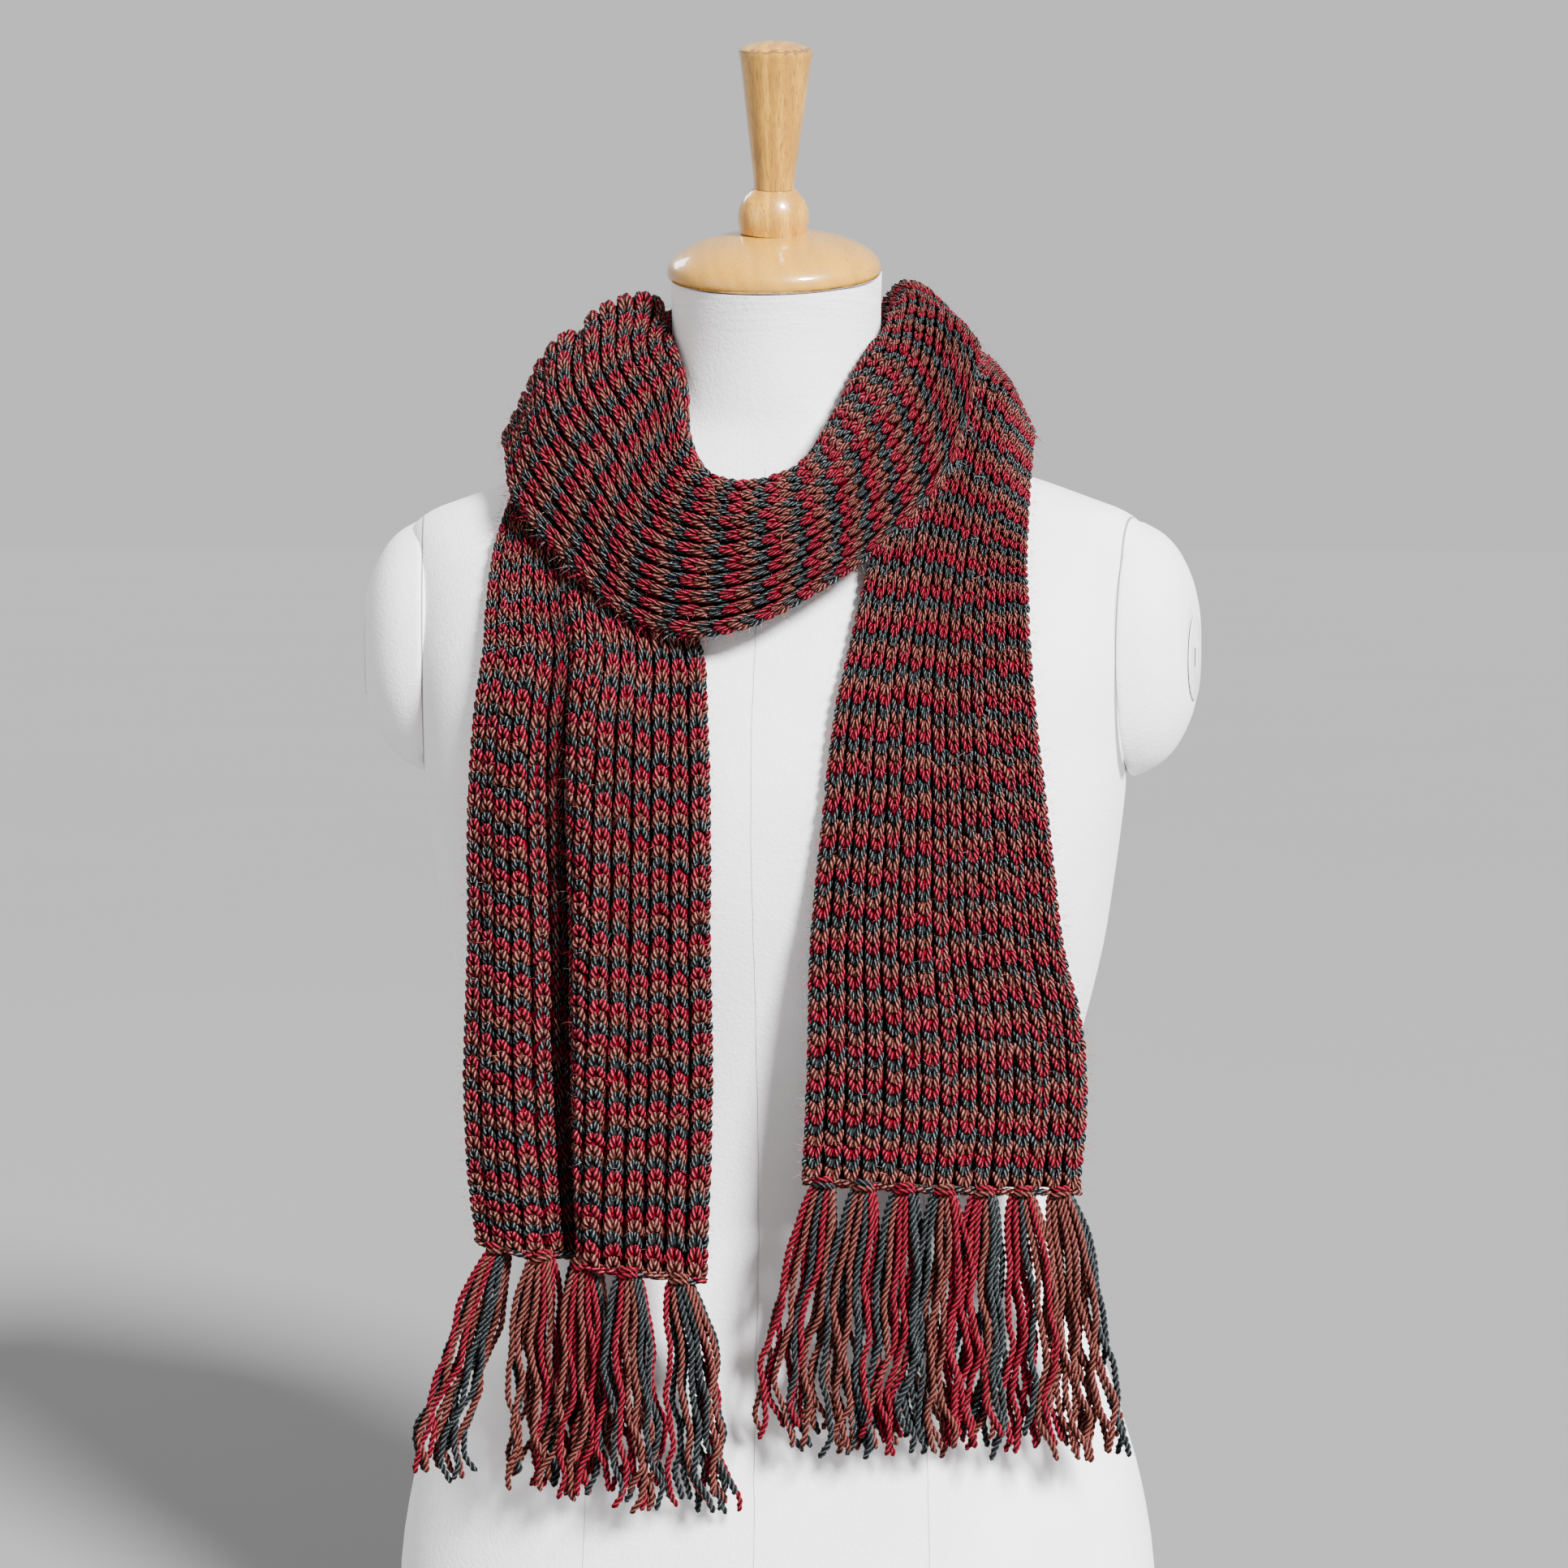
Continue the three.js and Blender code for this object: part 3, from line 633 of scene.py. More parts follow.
def mesh_piece(name: str, points: Array, faces: list[Array], tones: list[Array],
               materials: list[Material], uv_name: str, uv: list[Array],
               shade: Array | None = None) -> Piece:
    """Makes a smooth piece straight from arrays.

    Args:
        name: The piece's name.
        points: Vertex places, (n, 3).
        faces: Blocks of faces of one size each, (m, corners).
        tones: The material number of each face, one array for each block.
        materials: The materials that those numbers count.
        uv_name: The name of the UV map.
        uv: The corners' UV places, (m, corners, 2), one array for each block.
        shade: A tone of 0 to 1 for each vertex, or None.

    Returns:
        The piece.
    """
    mesh = bpy.data.meshes.new(name)
    for material in materials:
        mesh.materials.append(material)
    mesh.vertices.add(len(points))
    mesh.vertices.foreach_set("co", np.asarray(points, np.float32).ravel())
    sizes = np.concatenate([np.full(len(block), block.shape[1]) for block in faces])
    mesh.loops.add(int(sizes.sum()))
    corners = np.concatenate([block.ravel() for block in faces])
    mesh.loops.foreach_set("vertex_index", corners.astype(np.int32))
    mesh.polygons.add(len(sizes))
    mesh.polygons.foreach_set("loop_start", (np.cumsum(sizes) - sizes).astype(np.int32))
    mesh.polygons.foreach_set("material_index", np.concatenate(tones).astype(np.int32))
    mesh.update(calc_edges=True)
    layer = mesh.uv_layers.new(name=uv_name)
    layer.data.foreach_set("uv", np.concatenate([block.ravel() for block in uv]).astype(np.float32))
    if shade is not None:
        tones_layer = mesh.attributes.new("shade", "FLOAT", "POINT")
        tones_layer.data.foreach_set("value", shade.astype(np.float32))
    mesh.polygons.foreach_set("use_smooth", np.ones(len(sizes), bool))
    mesh.validate()
    piece = bpy.data.objects.new(name, mesh)
    bpy.context.scene.collection.objects.link(piece)
    return piece


def spline(points: Array, places: Array) -> Array:
    """Smooth curve through points along their first axis, as the part's source bends it.

    Args:
        points: Points or rows of points, (n, ...).
        places: Places counted in points.

    Returns:
        The curve at each place, (len(places), ...).
    """
    padded = np.concatenate([[2 * points[0] - points[1]], points, [2 * points[-1] - points[-2]]])
    first = np.clip(np.floor(places).astype(int), 0, len(points) - 2)
    t = (places - first).reshape([-1] + [1] * (points.ndim - 1))
    a, b, c, d = (padded[first + i] for i in range(4))
    return 0.5 * (2 * b + (c - a) * t + (2 * a - 5 * b + 4 * c - d) * t**2 + (3 * b - a - 3 * c + d) * t**3)


def unit(vectors: Array) -> Array:
    """Vectors of length 1 along the last axis."""
    return vectors / np.maximum(np.linalg.norm(vectors, axis=-1, keepdims=True), 1e-12)


def run_along(points: Array) -> Array:
    """Distance along a line of points, from its first one."""
    return np.concatenate([[0], np.cumsum(np.linalg.norm(np.diff(points, axis=0), axis=-1))])


# Dress form


# Height, half width, reach to the front and to the back, roundness of the outline, lean in degrees
FORM_LEVELS = (
    (0, 199, 112, 124, 2.3, 0), (60, 198, 114, 124, 2.3, 0), (105, 191, 112, 119, 2.3, 0),
    (140, 181, 107, 112, 2.3, 0), (172, 170, 101, 105, 2.3, 0), (200, 156, 94, 97, 2.3, 0),
    (228, 146, 88, 90, 2.3, 0), (253, 142, 86, 86, 2.3, 0), (280, 143, 87, 84, 2.3, 0),
    (310, 149, 91, 85, 2.35, 0), (350, 160, 99, 90, 2.4, 0), (388, 169, 108, 97, 2.5, 0),
    (420, 174, 115, 102, 2.6, 0), (455, 178.5, 119, 106, 2.6, 0), (490, 182, 118, 109, 2.6, 0),
    (530, 187, 108, 111, 2.6, 0), (565, 189, 92, 109, 2.6, 0), (588, 190, 77, 104, 2.6, 0),
    (602, 189, 66, 97, 2.5, 0), (611, 179, 62, 91, 2.4, 0), (618, 161, 60, 86, 2.35, 0),
    (626, 139, 59, 79, 2.3, 0), (635, 112, 57, 72, 2.2, 0), (646, 86, 55, 66, 2.1, 1),
    (658, 67, 54, 62, 2, 3), (672, 57, 55, 57, 2, 6), (690, 54, 57, 51, 2, 8),
    (710, 53.5, 60, 47, 2, 10), (730, 54, 64.5, 43.5, 2, 12),
)


def outline(angles: Array, half_x: float, half_y: float, round_power: float) -> Array:
    """Points of a rounded outline: an ellipse whose sides swell as the power grows."""
    cos, sin = np.cos(angles), np.sin(angles)
    power = 2 / round_power
    return np.stack([half_x * np.sign(cos) * np.abs(cos) ** power,
                     half_y * np.sign(sin) * np.abs(sin) ** power], -1)


@dataclass
class DressForm:
    """Torso and neck under a white stretch cover, with a rounded cap over each armhole."""

    sides: int = 96
    rings_a_level: int = 3
    arm_x: float = 184.0
    arm_y: float = 3.0
    arm_z: float = 541.0
    arm_half_depth: float = 57.0
    arm_half_height: float = 65.0
    arm_round: float = 2.2
    arm_toe: float = 9.0
    arm_sides: int = 72
    # Distance out from the armhole and share of the full outline there, with the tucked seam first
    arm_bulge: tuple[tuple[float, float], ...] = (
        (-14, 0.9), (-3, 0.962), (0, 0.985), (2, 0.998), (7, 0.965), (13, 0.91), (19, 0.82), (24, 0.7),
        (28, 0.56), (30.5, 0.42))
    socket: tuple[tuple[float, float], ...] = ((30.0, 0.25), (27.0, 0.19), (19.0, 0.17))
    disc_half_depth: float = 18.0
    disc_half_height: float = 22.0
    disc_drop: float = 4.0
    disc_thickness: float = 0.8
    disc_edge: float = 0.35
    slot_half: tuple[float, float] = (3.0, 4.8)
    slot_reach: float = 20.0
    pocket_radius: float = 14.0
    seam_gap: float = 0.3

    def torso(self) -> Piece:
        """Builds the torso and neck from the smoothed level table."""
        table = np.array(FORM_LEVELS, float)
        steps = (len(table) - 1) * self.rings_a_level
        rows = spline(table, np.linspace(0, len(table) - 1, steps + 1))
        angles = 2 * math.pi * np.arange(self.sides) / self.sides
        rings = []
        for z, half, front, back, power, lean in rows:
            reach = np.where(np.sin(angles) < 0, front, back)
            spot = outline(angles, half, 1.0, power) * np.stack([np.ones(self.sides), reach], -1)
            middle = (back - front) / 2
            height = z + (spot[:, 1] - middle) * math.tan(math.radians(lean))
            rings.append(np.column_stack([spot, height]))
        return drawn_out("form_cover", np.array(rings) * MM)

    def arm_rings(self, side: Side) -> Array:
        """Rings of one arm cap, from inside the armhole to the bottom of the pocket behind its disc."""
        rows = np.array(self.arm_bulge, float)
        smooth = spline(rows, np.linspace(0, len(rows) - 1, (len(rows) - 1) * 3 + 1))
        angles = 2 * math.pi * np.arange(self.arm_sides) / self.arm_sides
        rings = []
        for out, share in [*smooth, *self.socket]:
            spot = outline(angles, self.arm_half_depth * share, self.arm_half_height * share, self.arm_round)
            drop = self.disc_drop * np.interp(share, [0.25, 0.42], [1.0, 0.0])
            rings.append(np.column_stack([np.full(len(angles), out), spot[:, 0], spot[:, 1] - drop]))
        return self.turned_out(np.array(rings), side)

    def turned_out(self, places: Array, side: Side) -> Array:
        """Places given as (out, depth, height) at an armhole, on one side and turned a little forward."""
        toe = math.radians(self.arm_toe)
        out, depth, height = places[..., 0], places[..., 1], places[..., 2]
        x = self.arm_x + out * math.cos(toe) + depth * math.sin(toe)
        y = self.arm_y + depth * math.cos(toe) - out * math.sin(toe)
        return np.stack([side.value * x, y, self.arm_z + height], -1) * MM

    def arm_cap(self, side: Side) -> Piece:
        """Builds one arm cap with the pocket behind its disc."""
        piece = drawn_out(f"arm_cap_cover_{side.name.lower()}", self.arm_rings(side))
        centre = Vector(self.turned_out(np.array([self.socket[-1][0], 0, -self.disc_drop]), side).tolist())
        for face in piece.data.polygons:
            # Faces of the pocket behind the slot get the second material: near-black painted shade
            face.material_index = int((face.center - centre).length < self.pocket_radius * MM)
        return piece

    def disc(self, side: Side) -> Piece:
        """Builds the slotted end disc of one arm cap: a rounded plate with a slot cut through it."""
        clear_selection()
        bpy.ops.mesh.primitive_cylinder_add(vertices=self.arm_sides, radius=1, depth=self.disc_thickness * MM)
        piece = bpy.context.active_object
        piece.name = f"arm_disc_{side.name.lower()}"
        piece.scale = (self.disc_half_depth * MM, self.disc_half_height * MM, 1)
        bpy.ops.object.transform_apply(location=False, rotation=False, scale=True)
        half_depth, half_height = self.slot_half
        slot_size = (2 * half_depth * MM, 2 * half_height * MM, self.slot_reach * MM)
        bpy.ops.mesh.primitive_cube_add(size=1, scale=slot_size)
        slot = bpy.context.active_object
        apply_modifier(piece, "BOOLEAN", operation="DIFFERENCE", object=slot, solver="EXACT")
        bpy.data.objects.remove(slot)
        apply_modifier(piece, "BEVEL", width=self.disc_edge * MM, segments=2, limit_method="ANGLE",
                       angle_limit=0.6)
        out = self.arm_bulge[-1][0] + self.seam_gap + self.disc_thickness / 2
        for vertex in piece.data.vertices:
            depth, height, across = vertex.co / MM
            place = np.array([out + across, depth, height - self.disc_drop])
            vertex.co = self.turned_out(place, side)
        smooth_outwards(30)
        return piece

    def build(self) -> None:
        """Builds and dresses the torso, both arm caps and their discs."""
        body = self.torso()
        armhole = (self.arm_x, self.arm_y, self.arm_toe)
        wear(body, JerseyFinish("form_jersey_seamed", armhole, centre_seam=True).build())
        finish_piece(body, ("form_torso",))
        jersey = JerseyFinish("form_jersey", armhole).build()
        # Near-black painted shade for the pocket seen through the slots
        dark = PaintFinish("slot_painted_shade", (0.012, 0.011, 0.011, 1), (0.03, 0.028, 0.027, 1), 0.7).build()
        lacquer = PaintFinish("disc_lacquer", (0.78, 0.765, 0.77, 1), (0.62, 0.60, 0.60, 1)).build()
        for side in Side:
            label = side.name.lower()
            cap = self.arm_cap(side)
            wear(cap, jersey, dark)
            finish_piece(cap, (f"form_arm_cap_{label}",))
            disc = self.disc(side)
            wear(disc, lacquer)
            finish_piece(disc, (f"form_arm_plate_{label}",))


@dataclass
class NeckWood:
    """Turned wood on the neck's leaning top: a domed cap, a ball and a flared handle."""

    top: tuple[float, float, float] = (0.0, -10.5, 730.0)
    lean: float = 12.0
    sides: int = 72
    seam_gap: float = 0.3
    cap_radius: float = 54.8
    cap_height: float = 23.5
    cap_edge: float = 3.4
    cap_round: float = 2.6
    ball_radius: float = 18.2
    ball_below: float = 6.3
    ball_above: float = 14.7
    handle_bottom: float = 10.2
    handle_top: float = 18.8
    handle_length: float = 70.0
    handle_crown: float = 4.0
    handle_tilt: float = 2.2

    def turned(self, name: str, profile: list[tuple[float, float]], base: float, tilt: float) -> Piece:
        """Draws a turned piece up its axis from rows of radius and height.

        Args:
            name: The piece's name.
            profile: Rows of radius and height, from its bottom to its top.
            base: Height of the piece's bottom over the neck's top.
            tilt: Degrees by which it also leans to the right.

        Returns:
            The piece, on the leaning axis.
        """
        angles = 2 * math.pi * np.arange(self.sides) / self.sides
        rows = np.array(profile, float)
        rings = np.stack([rows[:, :1] * np.cos(angles), rows[:, :1] * np.sin(angles),
                          np.broadcast_to(rows[:, 1:] + base, (len(rows), self.sides))], -1)
        upright = Matrix.Rotation(math.radians(self.lean), 3, "X")
        lean = np.array(Matrix.Rotation(math.radians(tilt), 3, "Y") @ upright)
        foot = np.array([0, 0, self.cap_height if tilt else 0.0])
        places = (rings - foot) @ lean.T + np.array(upright) @ foot + np.array(self.top)
        return drawn_out(name, places * MM)

    def dome_height(self, radius: float) -> float:
        """Height of the domed cap at a distance from its axis."""
        rise = math.sqrt(1 - (radius / self.cap_radius) ** 2)
        return self.cap_edge + (self.cap_height - self.cap_edge) * rise

    def cap_profile(self) -> list[tuple[float, float]]:
        """Rows of the domed cap: a small rounded edge, then the dome."""
        radius, edge, turn = self.cap_radius, self.cap_edge, self.cap_round
        rows = [(radius - turn, 0.0)]
        for share in (0.25, 0.5, 0.75, 1.0):
            angle = share * math.pi / 2
            rows.append((radius - turn * (1 - math.sin(angle)), edge * (1 - math.cos(angle))))
        for share in np.cos(np.linspace(0.16, 1.5, 20)):
            rows.append((radius * share, self.dome_height(radius * share)))
        return rows

    def ball_profile(self) -> list[tuple[float, float]]:
        """Rows of the ball, from a hollow underside that follows the dome to the flat on its top."""
        low = -math.asin(self.ball_below / self.ball_radius)
        high = math.asin(self.ball_above / self.ball_radius)
        ball = [(self.ball_radius * math.cos(a), self.ball_below + self.ball_radius * math.sin(a))
                for a in np.linspace(low, high, 22)]
        seat = [(r, self.dome_height(r) - self.cap_height) for r in (3.0, 8.0, 13.0, ball[0][0])]
        return seat + ball[1:]

    def handle_profile(self) -> list[tuple[float, float]]:
        """Rows of the flared handle and its low crown."""
        bottom, top, length = self.handle_bottom, self.handle_top, self.handle_length
        rows = [(bottom, 0.0), (bottom + 0.1, 2.0), (bottom + 0.4, 6.0)]
        flared = length - 7.5
        rows += [(np.interp(z, [6, flared], [bottom + 0.4, top - 1]), z) for z in (20, 34, 48, flared)]
        rows += [(top - 0.25, length - 3), (top, length - 1.4), (top - 0.1, length - 0.5)]
        rows.append((top - 0.7, length))
        for share in (0.9, 0.75, 0.55, 0.35, 0.15):
            rows.append((top * share, length + self.handle_crown * (1 - share**2)))
        return rows

    def build(self) -> None:
        """Builds and dresses the cap, the ball and the handle."""
        lean = math.radians(self.lean)
        centre = tuple(c * MM for c in self.top)
        ball_base = 2 * self.seam_gap + self.cap_height
        handle_base = ball_base + self.ball_below + self.ball_above + self.seam_gap
        parts = (
            ("neck_cap", self.cap_profile(), self.seam_gap, True, (self.seam_gap + 0.4,)),
            ("finial_ball", self.ball_profile(), ball_base, False, ()),
            ("finial_handle", self.handle_profile(), handle_base, False, (handle_base + self.handle_length,)),
        )
        for name, profile, base, flat_sawn, edges in parts:
            piece = self.turned(f"{name}_wood", profile, base, 0.0 if flat_sawn else self.handle_tilt)
            finish = TimberFinish(f"timber_{name}", centre, lean, flat_sawn, tuple(e * MM for e in edges))
            wear(piece, finish.build())
            finish_piece(piece, (f"form_{name}",))


# Scarf


# Tail rows: inner edge, outer edge and crown
LEFT_TAIL = (
    ((-22, -126, 237), (-139, -104, 250), 9), ((-20, -126, 291), (-143, -104, 283), 9),
    ((-19, -126, 340), (-145, -102, 332), 9), ((-20, -126, 403), (-143, -100, 398), 10),
    ((-20, -125, 467), (-143, -97, 463), 11), ((-22, -120, 514), (-140, -95, 512), 10),
    ((-26, -108, 545), (-136, -90, 543), 7), ((-40, -92, 576), (-136, -83, 560), 5),
    ((-50, -78, 608), (-135, -68, 589), 3), ((-57, -62, 640), (-131, -51, 612), 1),
    ((-61, -34, 665), (-126, -30, 633), 1), ((-63, 0, 676), (-126, 0, 642), 3),
)
RIGHT_TAIL = (
    ((72, 0, 674), (130, 0, 650), 25), ((70, -34, 661), (131, -28, 638), 16),
    ((66, -62, 636), (131, -54, 610), 8), ((60, -80, 606), (131, -70, 590), 6),
    ((54, -92, 577), (132, -80, 573), 6), ((48, -107, 546), (134, -91, 545), 6),
    ((42, -119, 515), (137, -97, 514), 8), ((37, -125, 467), (143, -98, 466), 10),
    ((31, -126, 404), (151, -96, 401), 10), ((30, -126, 367), (160, -96, 363), 9),
    ((29, -126, 330), (163, -97, 326), 8), ((27, -126, 288), (160, -98, 280), 8),
)
# Winding rows: turn in degrees, then radius and height of rim, crest, belly and edge
WINDING = (
    (130, (58, 710), (70, 688), (88, 668), (110, 642)), (180, (53, 729), (60, 695), (71, 660), (95, 622)),
    (230, (55, 724), (62, 702), (68, 678), (80, 656)), (250, (57, 700), (61, 721), (70, 724), (79, 708)),
    (270, (59, 696), (66, 719), (84, 713), (98, 699)), (290, (60, 680), (65, 704), (91, 705), (112, 683)),
    (310, (62, 662), (66, 688), (97, 676), (120, 630)), (330, (68, 634), (74, 658), (104, 642), (119, 594)),
    (345, (74, 612), (90, 635), (113, 614), (119, 574)), (360, (76, 605), (94, 626), (117, 596), (121, 558)),
    (375, (76, 606), (93, 628), (119, 594), (122, 553)), (390, (74, 628), (80, 646), (118, 607), (125, 562)),
    (405, (65, 662), (66, 678), (114, 636), (133, 588)), (420, (60, 681), (64, 696), (114, 667), (142, 617)),
    (435, (58, 686), (64, 711), (109, 692), (138, 640)), (450, (59, 694), (66, 720), (107, 700), (136, 648)),
    (490, (68, 717), (83, 703), (107, 683), (127, 642)), (540, (64, 724), (73, 690), (87, 653), (110, 610)),
    (590, (76, 708), (86, 688), (99, 662), (114, 630)), (610, (94, 696), (107, 690), (119, 674), (127, 645)),
)
# Folds: place along, reach, place across, spread, height and shift across. The last two rows are the
# left tail's crease, which goes down behind the half of the cloth on its right.
FOLDS = ((2, 5.5, 0.44, 0.1, 5, 0), (2, 5.5, 0.78, 0.12, 4, 0), (27, 1.2, 0.5, 0.045, -7, 0),
         (34, 2.5, 0.3, 0.09, 3, 0), (0, 3.8, 0.61, 0.07, -23, -6), (5, 2.6, 0.6, 0.04, -4, -2))
# Ripples of the stripes: height in rows, turn for each rib and for each row, and start
RIPPLES = ((0.22, 0.9, 0.05, 0.0), (0.32, 2.7, 0.043, 1.3))
HANGS_FROM_Y = -90


def tail_station(inner: tuple, outer: tuple, crown: float) -> list[Array]:
    """Four points across the cloth for a row of a tail."""
    start, end = np.array(inner, float), np.array(outer, float)
    across = unit(end - start)
    rise = np.array([0.0, -1.0, 1.0])
    rise = rise - across * (rise @ across)
    if start[1] < HANGS_FROM_Y:
        rise = np.array([0.0, -1.0, 0.0])
    rise = unit(rise) * crown
    return [start, start + (end - start) / 3 + rise, start + (end - start) * 2 / 3 + rise, end]


def winding_station(turn: float, *rows: tuple[float, float]) -> list[Array]:
    """Four points across the cloth for a section of the winding."""
    angle = math.radians(turn)
    return [np.array([-r * math.sin(angle), -r * math.cos(angle), z]) for r, z in rows]


def yarn_numbers(rows: Array) -> Array:
    """The yarn of each row, as its number in Yarn."""
    return (rows + 1) % len(Yarn)


@dataclass
class ScarfSurface:
    """The middle surface of the cloth: places by distance along it and share across it."""

    width: float = 144.0
    ribs: int = 15
    lanes: int = 120
    fineness: int = 40
    points: Array = field(init=False)
    normals: Array = field(init=False)
    forwards: Array = field(init=False)
    along: Array = field(init=False)

    def __post_init__(self) -> None:
        """Works out the fine grid of places, normals and directions, in metres."""
        stations = [tail_station(*row) for row in LEFT_TAIL]
        stations += [winding_station(*row) for row in WINDING]
        stations += [tail_station(*row) for row in RIGHT_TAIL]
        last = len(stations) - 1
        places = np.linspace(0, last, last * self.fineness + 1)
        controls = spline(np.array(stations), places)
        shares = np.linspace(0, 1, self.lanes + 1)
        curve = spline(controls.transpose(1, 0, 2), np.linspace(0, 3, 201))
        run = np.concatenate([np.zeros((1, len(places))), np.cumsum(
            np.linalg.norm(np.diff(curve, axis=0), axis=-1), axis=0)])
        grid = np.empty((len(places), self.lanes + 1, 3))
        for k in range(len(places)):
            for axis in range(3):
                grid[k, :, axis] = np.interp(shares * run[-1, k], run[:, k], curve[:, k, axis])
        normals = self.normals_of(grid)
        across = unit(np.gradient(grid, axis=1))
        for a, reach, c, spread, height, shift in FOLDS:
            far = (((places - a) / reach) ** 2)[:, None] + (((shares - c) / spread) ** 2)[None]
            grid = grid + (normals * height + across * shift) * np.exp(-far)[..., None]
        self.points = self.evened(grid) * MM
        self.normals = self.normals_of(self.points)
        self.forwards = unit(np.gradient(self.points, axis=0))
        self.along = run_along(self.points[:, self.lanes // 2])

    def evened(self, grid: Array) -> Array:
        """The same surface with its lanes evenly spaced again where the cloth runs down into its folds."""
        run = np.cumsum(np.linalg.norm(np.diff(grid, axis=1), axis=-1), axis=1)
        run = np.concatenate([np.zeros((len(grid), 1)), run], axis=1)
        shares = np.linspace(0, 1, grid.shape[1])
        return np.stack([[np.interp(shares * far[-1], far, line[:, axis]) for axis in range(3)]
                         for line, far in zip(grid, run)]).transpose(0, 2, 1)

    @staticmethod
    def normals_of(grid: Array) -> Array:
        """Outward normals of a grid of places."""
        return unit(np.cross(np.gradient(grid, axis=0), np.gradient(grid, axis=1)))

    def distance(self, place: float) -> float:
        """Distance along the middle line at a place counted in rows of the tables."""
        return float(np.interp(place * self.fineness, np.arange(len(self.along)), self.along))

    def sample(self, along: Array, across: Array) -> tuple[Array, Array, Array]:
        """Places, normals and forward directions on the cloth.

        Args:
            along: Distances along the middle line, which may run past the hems.
            across: Shares across the cloth, which may run a little past its edges.

        Returns:
            Three arrays of the inputs' shape with 3 coordinates each.
        """
        kept = np.clip(along, 0, self.along[-1])
        row = np.interp(kept, self.along, np.arange(len(self.along)))
        lane = np.clip(across, 0, 1) * self.lanes
        i = np.clip(np.floor(row).astype(int), 0, len(self.along) - 2)
        j = np.clip(np.floor(lane).astype(int), 0, self.lanes - 1)
        f, g = (row - i)[..., None], (lane - j)[..., None]

        def mixed(grid: Array) -> Array:
            """The grid's value between its four nearest points."""
            near = grid[i, j] * (1 - g) + grid[i, j + 1] * g
            far = grid[i + 1, j] * (1 - g) + grid[i + 1, j + 1] * g
            return near * (1 - f) + far * f

        places, normals, forwards = mixed(self.points), unit(mixed(self.normals)), unit(mixed(self.forwards))
        sides = np.cross(normals, forwards)
        places = places + forwards * (along - kept)[..., None]
        over = (across - np.clip(across, 0, 1)) * self.width * MM
        return places + sides * over[..., None], normals, forwards


@dataclass
class Rows:
    """How the knitted rows are spaced along the scarf: tighter near the hems, wider round the neck."""

    surface: ScarfSurface
    # Share of the scarf's length and row pitch there in millimetres
    pitches: tuple[tuple[float, float], ...] = ((0, 5.5), (0.08, 5.6), (0.2, 6.1), (0.4, 6.3), (0.58, 6.9),
                                                (0.7, 6.5), (0.82, 6.2), (0.93, 5.8), (1, 5.5))
    starts: Array = field(init=False)

    def __post_init__(self) -> None:
        """Lays the rows from the left hem to the right hem, so that the same yarn is on both hems."""
        total = self.surface.along[-1]
        shares, pitches = np.array(self.pitches).T
        fine = np.linspace(0, 1, 2001)
        count = np.concatenate([[0], np.cumsum(total / 2000 / (np.interp(fine[1:], shares, pitches) * MM))])
        whole = len(Yarn) * int(round((count[-1] - 1) / len(Yarn))) + 1
        self.starts = np.interp(np.arange(whole + 1) * count[-1] / whole, count, fine * total)

    def distance(self, row: Array) -> Array:
        """Distance along the scarf of a row number, which may have a fraction or run past the hems."""
        last = len(self.starts) - 1
        inside = np.interp(row, np.arange(last + 1), self.starts)
        under = np.minimum(row, 0) * (self.starts[1] - self.starts[0])
        over = np.maximum(row - last, 0) * (self.starts[-1] - self.starts[-2])
        return inside + under + over

    def number(self, along: Array) -> Array:
        """Row number at a distance along the scarf."""
        return np.interp(along, self.starts, np.arange(len(self.starts)))


@dataclass(frozen=True)
class Spun:
    """One piece of yarn as a mesh: its points, blocks of faces and blocks of UV corners."""

    points: Array
    faces: list[Array]
    uv: list[Array]

    def wound(self, forwards: bool) -> "Spun":
        """The same piece, with its faces wound the other way unless forwards."""
        if forwards:
            return self
        faces, uv = ([block[:, ::-1] for block in blocks] for blocks in (self.faces, self.uv))
        return Spun(self.points, faces, uv)

    def copies(self, count: int) -> Array:
        """Its points once for each copy."""
        return np.repeat(self.points[None], count, 0)


def tube(points: Array, sides: int, length: Array) -> Spun:
    """A tube that closes in a point at both ends.

    Args:
        points: The first point, each ring's points and the last point.
        sides: Points in a ring.
        length: Distance along the tube of the first point, of each ring and of the last point, in metres.

    Returns:
        The tube, with (turn, distance) as its UV corners.
    """
    quads, quad_uv, tips, tip_uv = [], [], [], []
    rings = len(length) - 2
    last = 1 + rings * sides
    end = last - sides
    for i in range(sides):
        j = (i + 1) % sides
        u, v = i / sides, (i + 1) / sides
        for k in range(rings - 1):
            low, high = 1 + k * sides, 1 + (k + 1) * sides
            quads.append([low + i, low + j, high + j, high + i])
            near, far = length[k + 1], length[k + 2]
            quad_uv.append([[u, near], [v, near], [v, far], [u, far]])
        tips += [[0, 1 + j, 1 + i], [last, end + i, end + j]]
        tip_uv += [[[u, length[0]], [v, length[1]], [u, length[1]]],
                   [[u, length[-1]], [u, length[-2]], [v, length[-2]]]]
    return Spun(points, [np.array(quads), np.array(tips)], [np.array(quad_uv), np.array(tip_uv)])


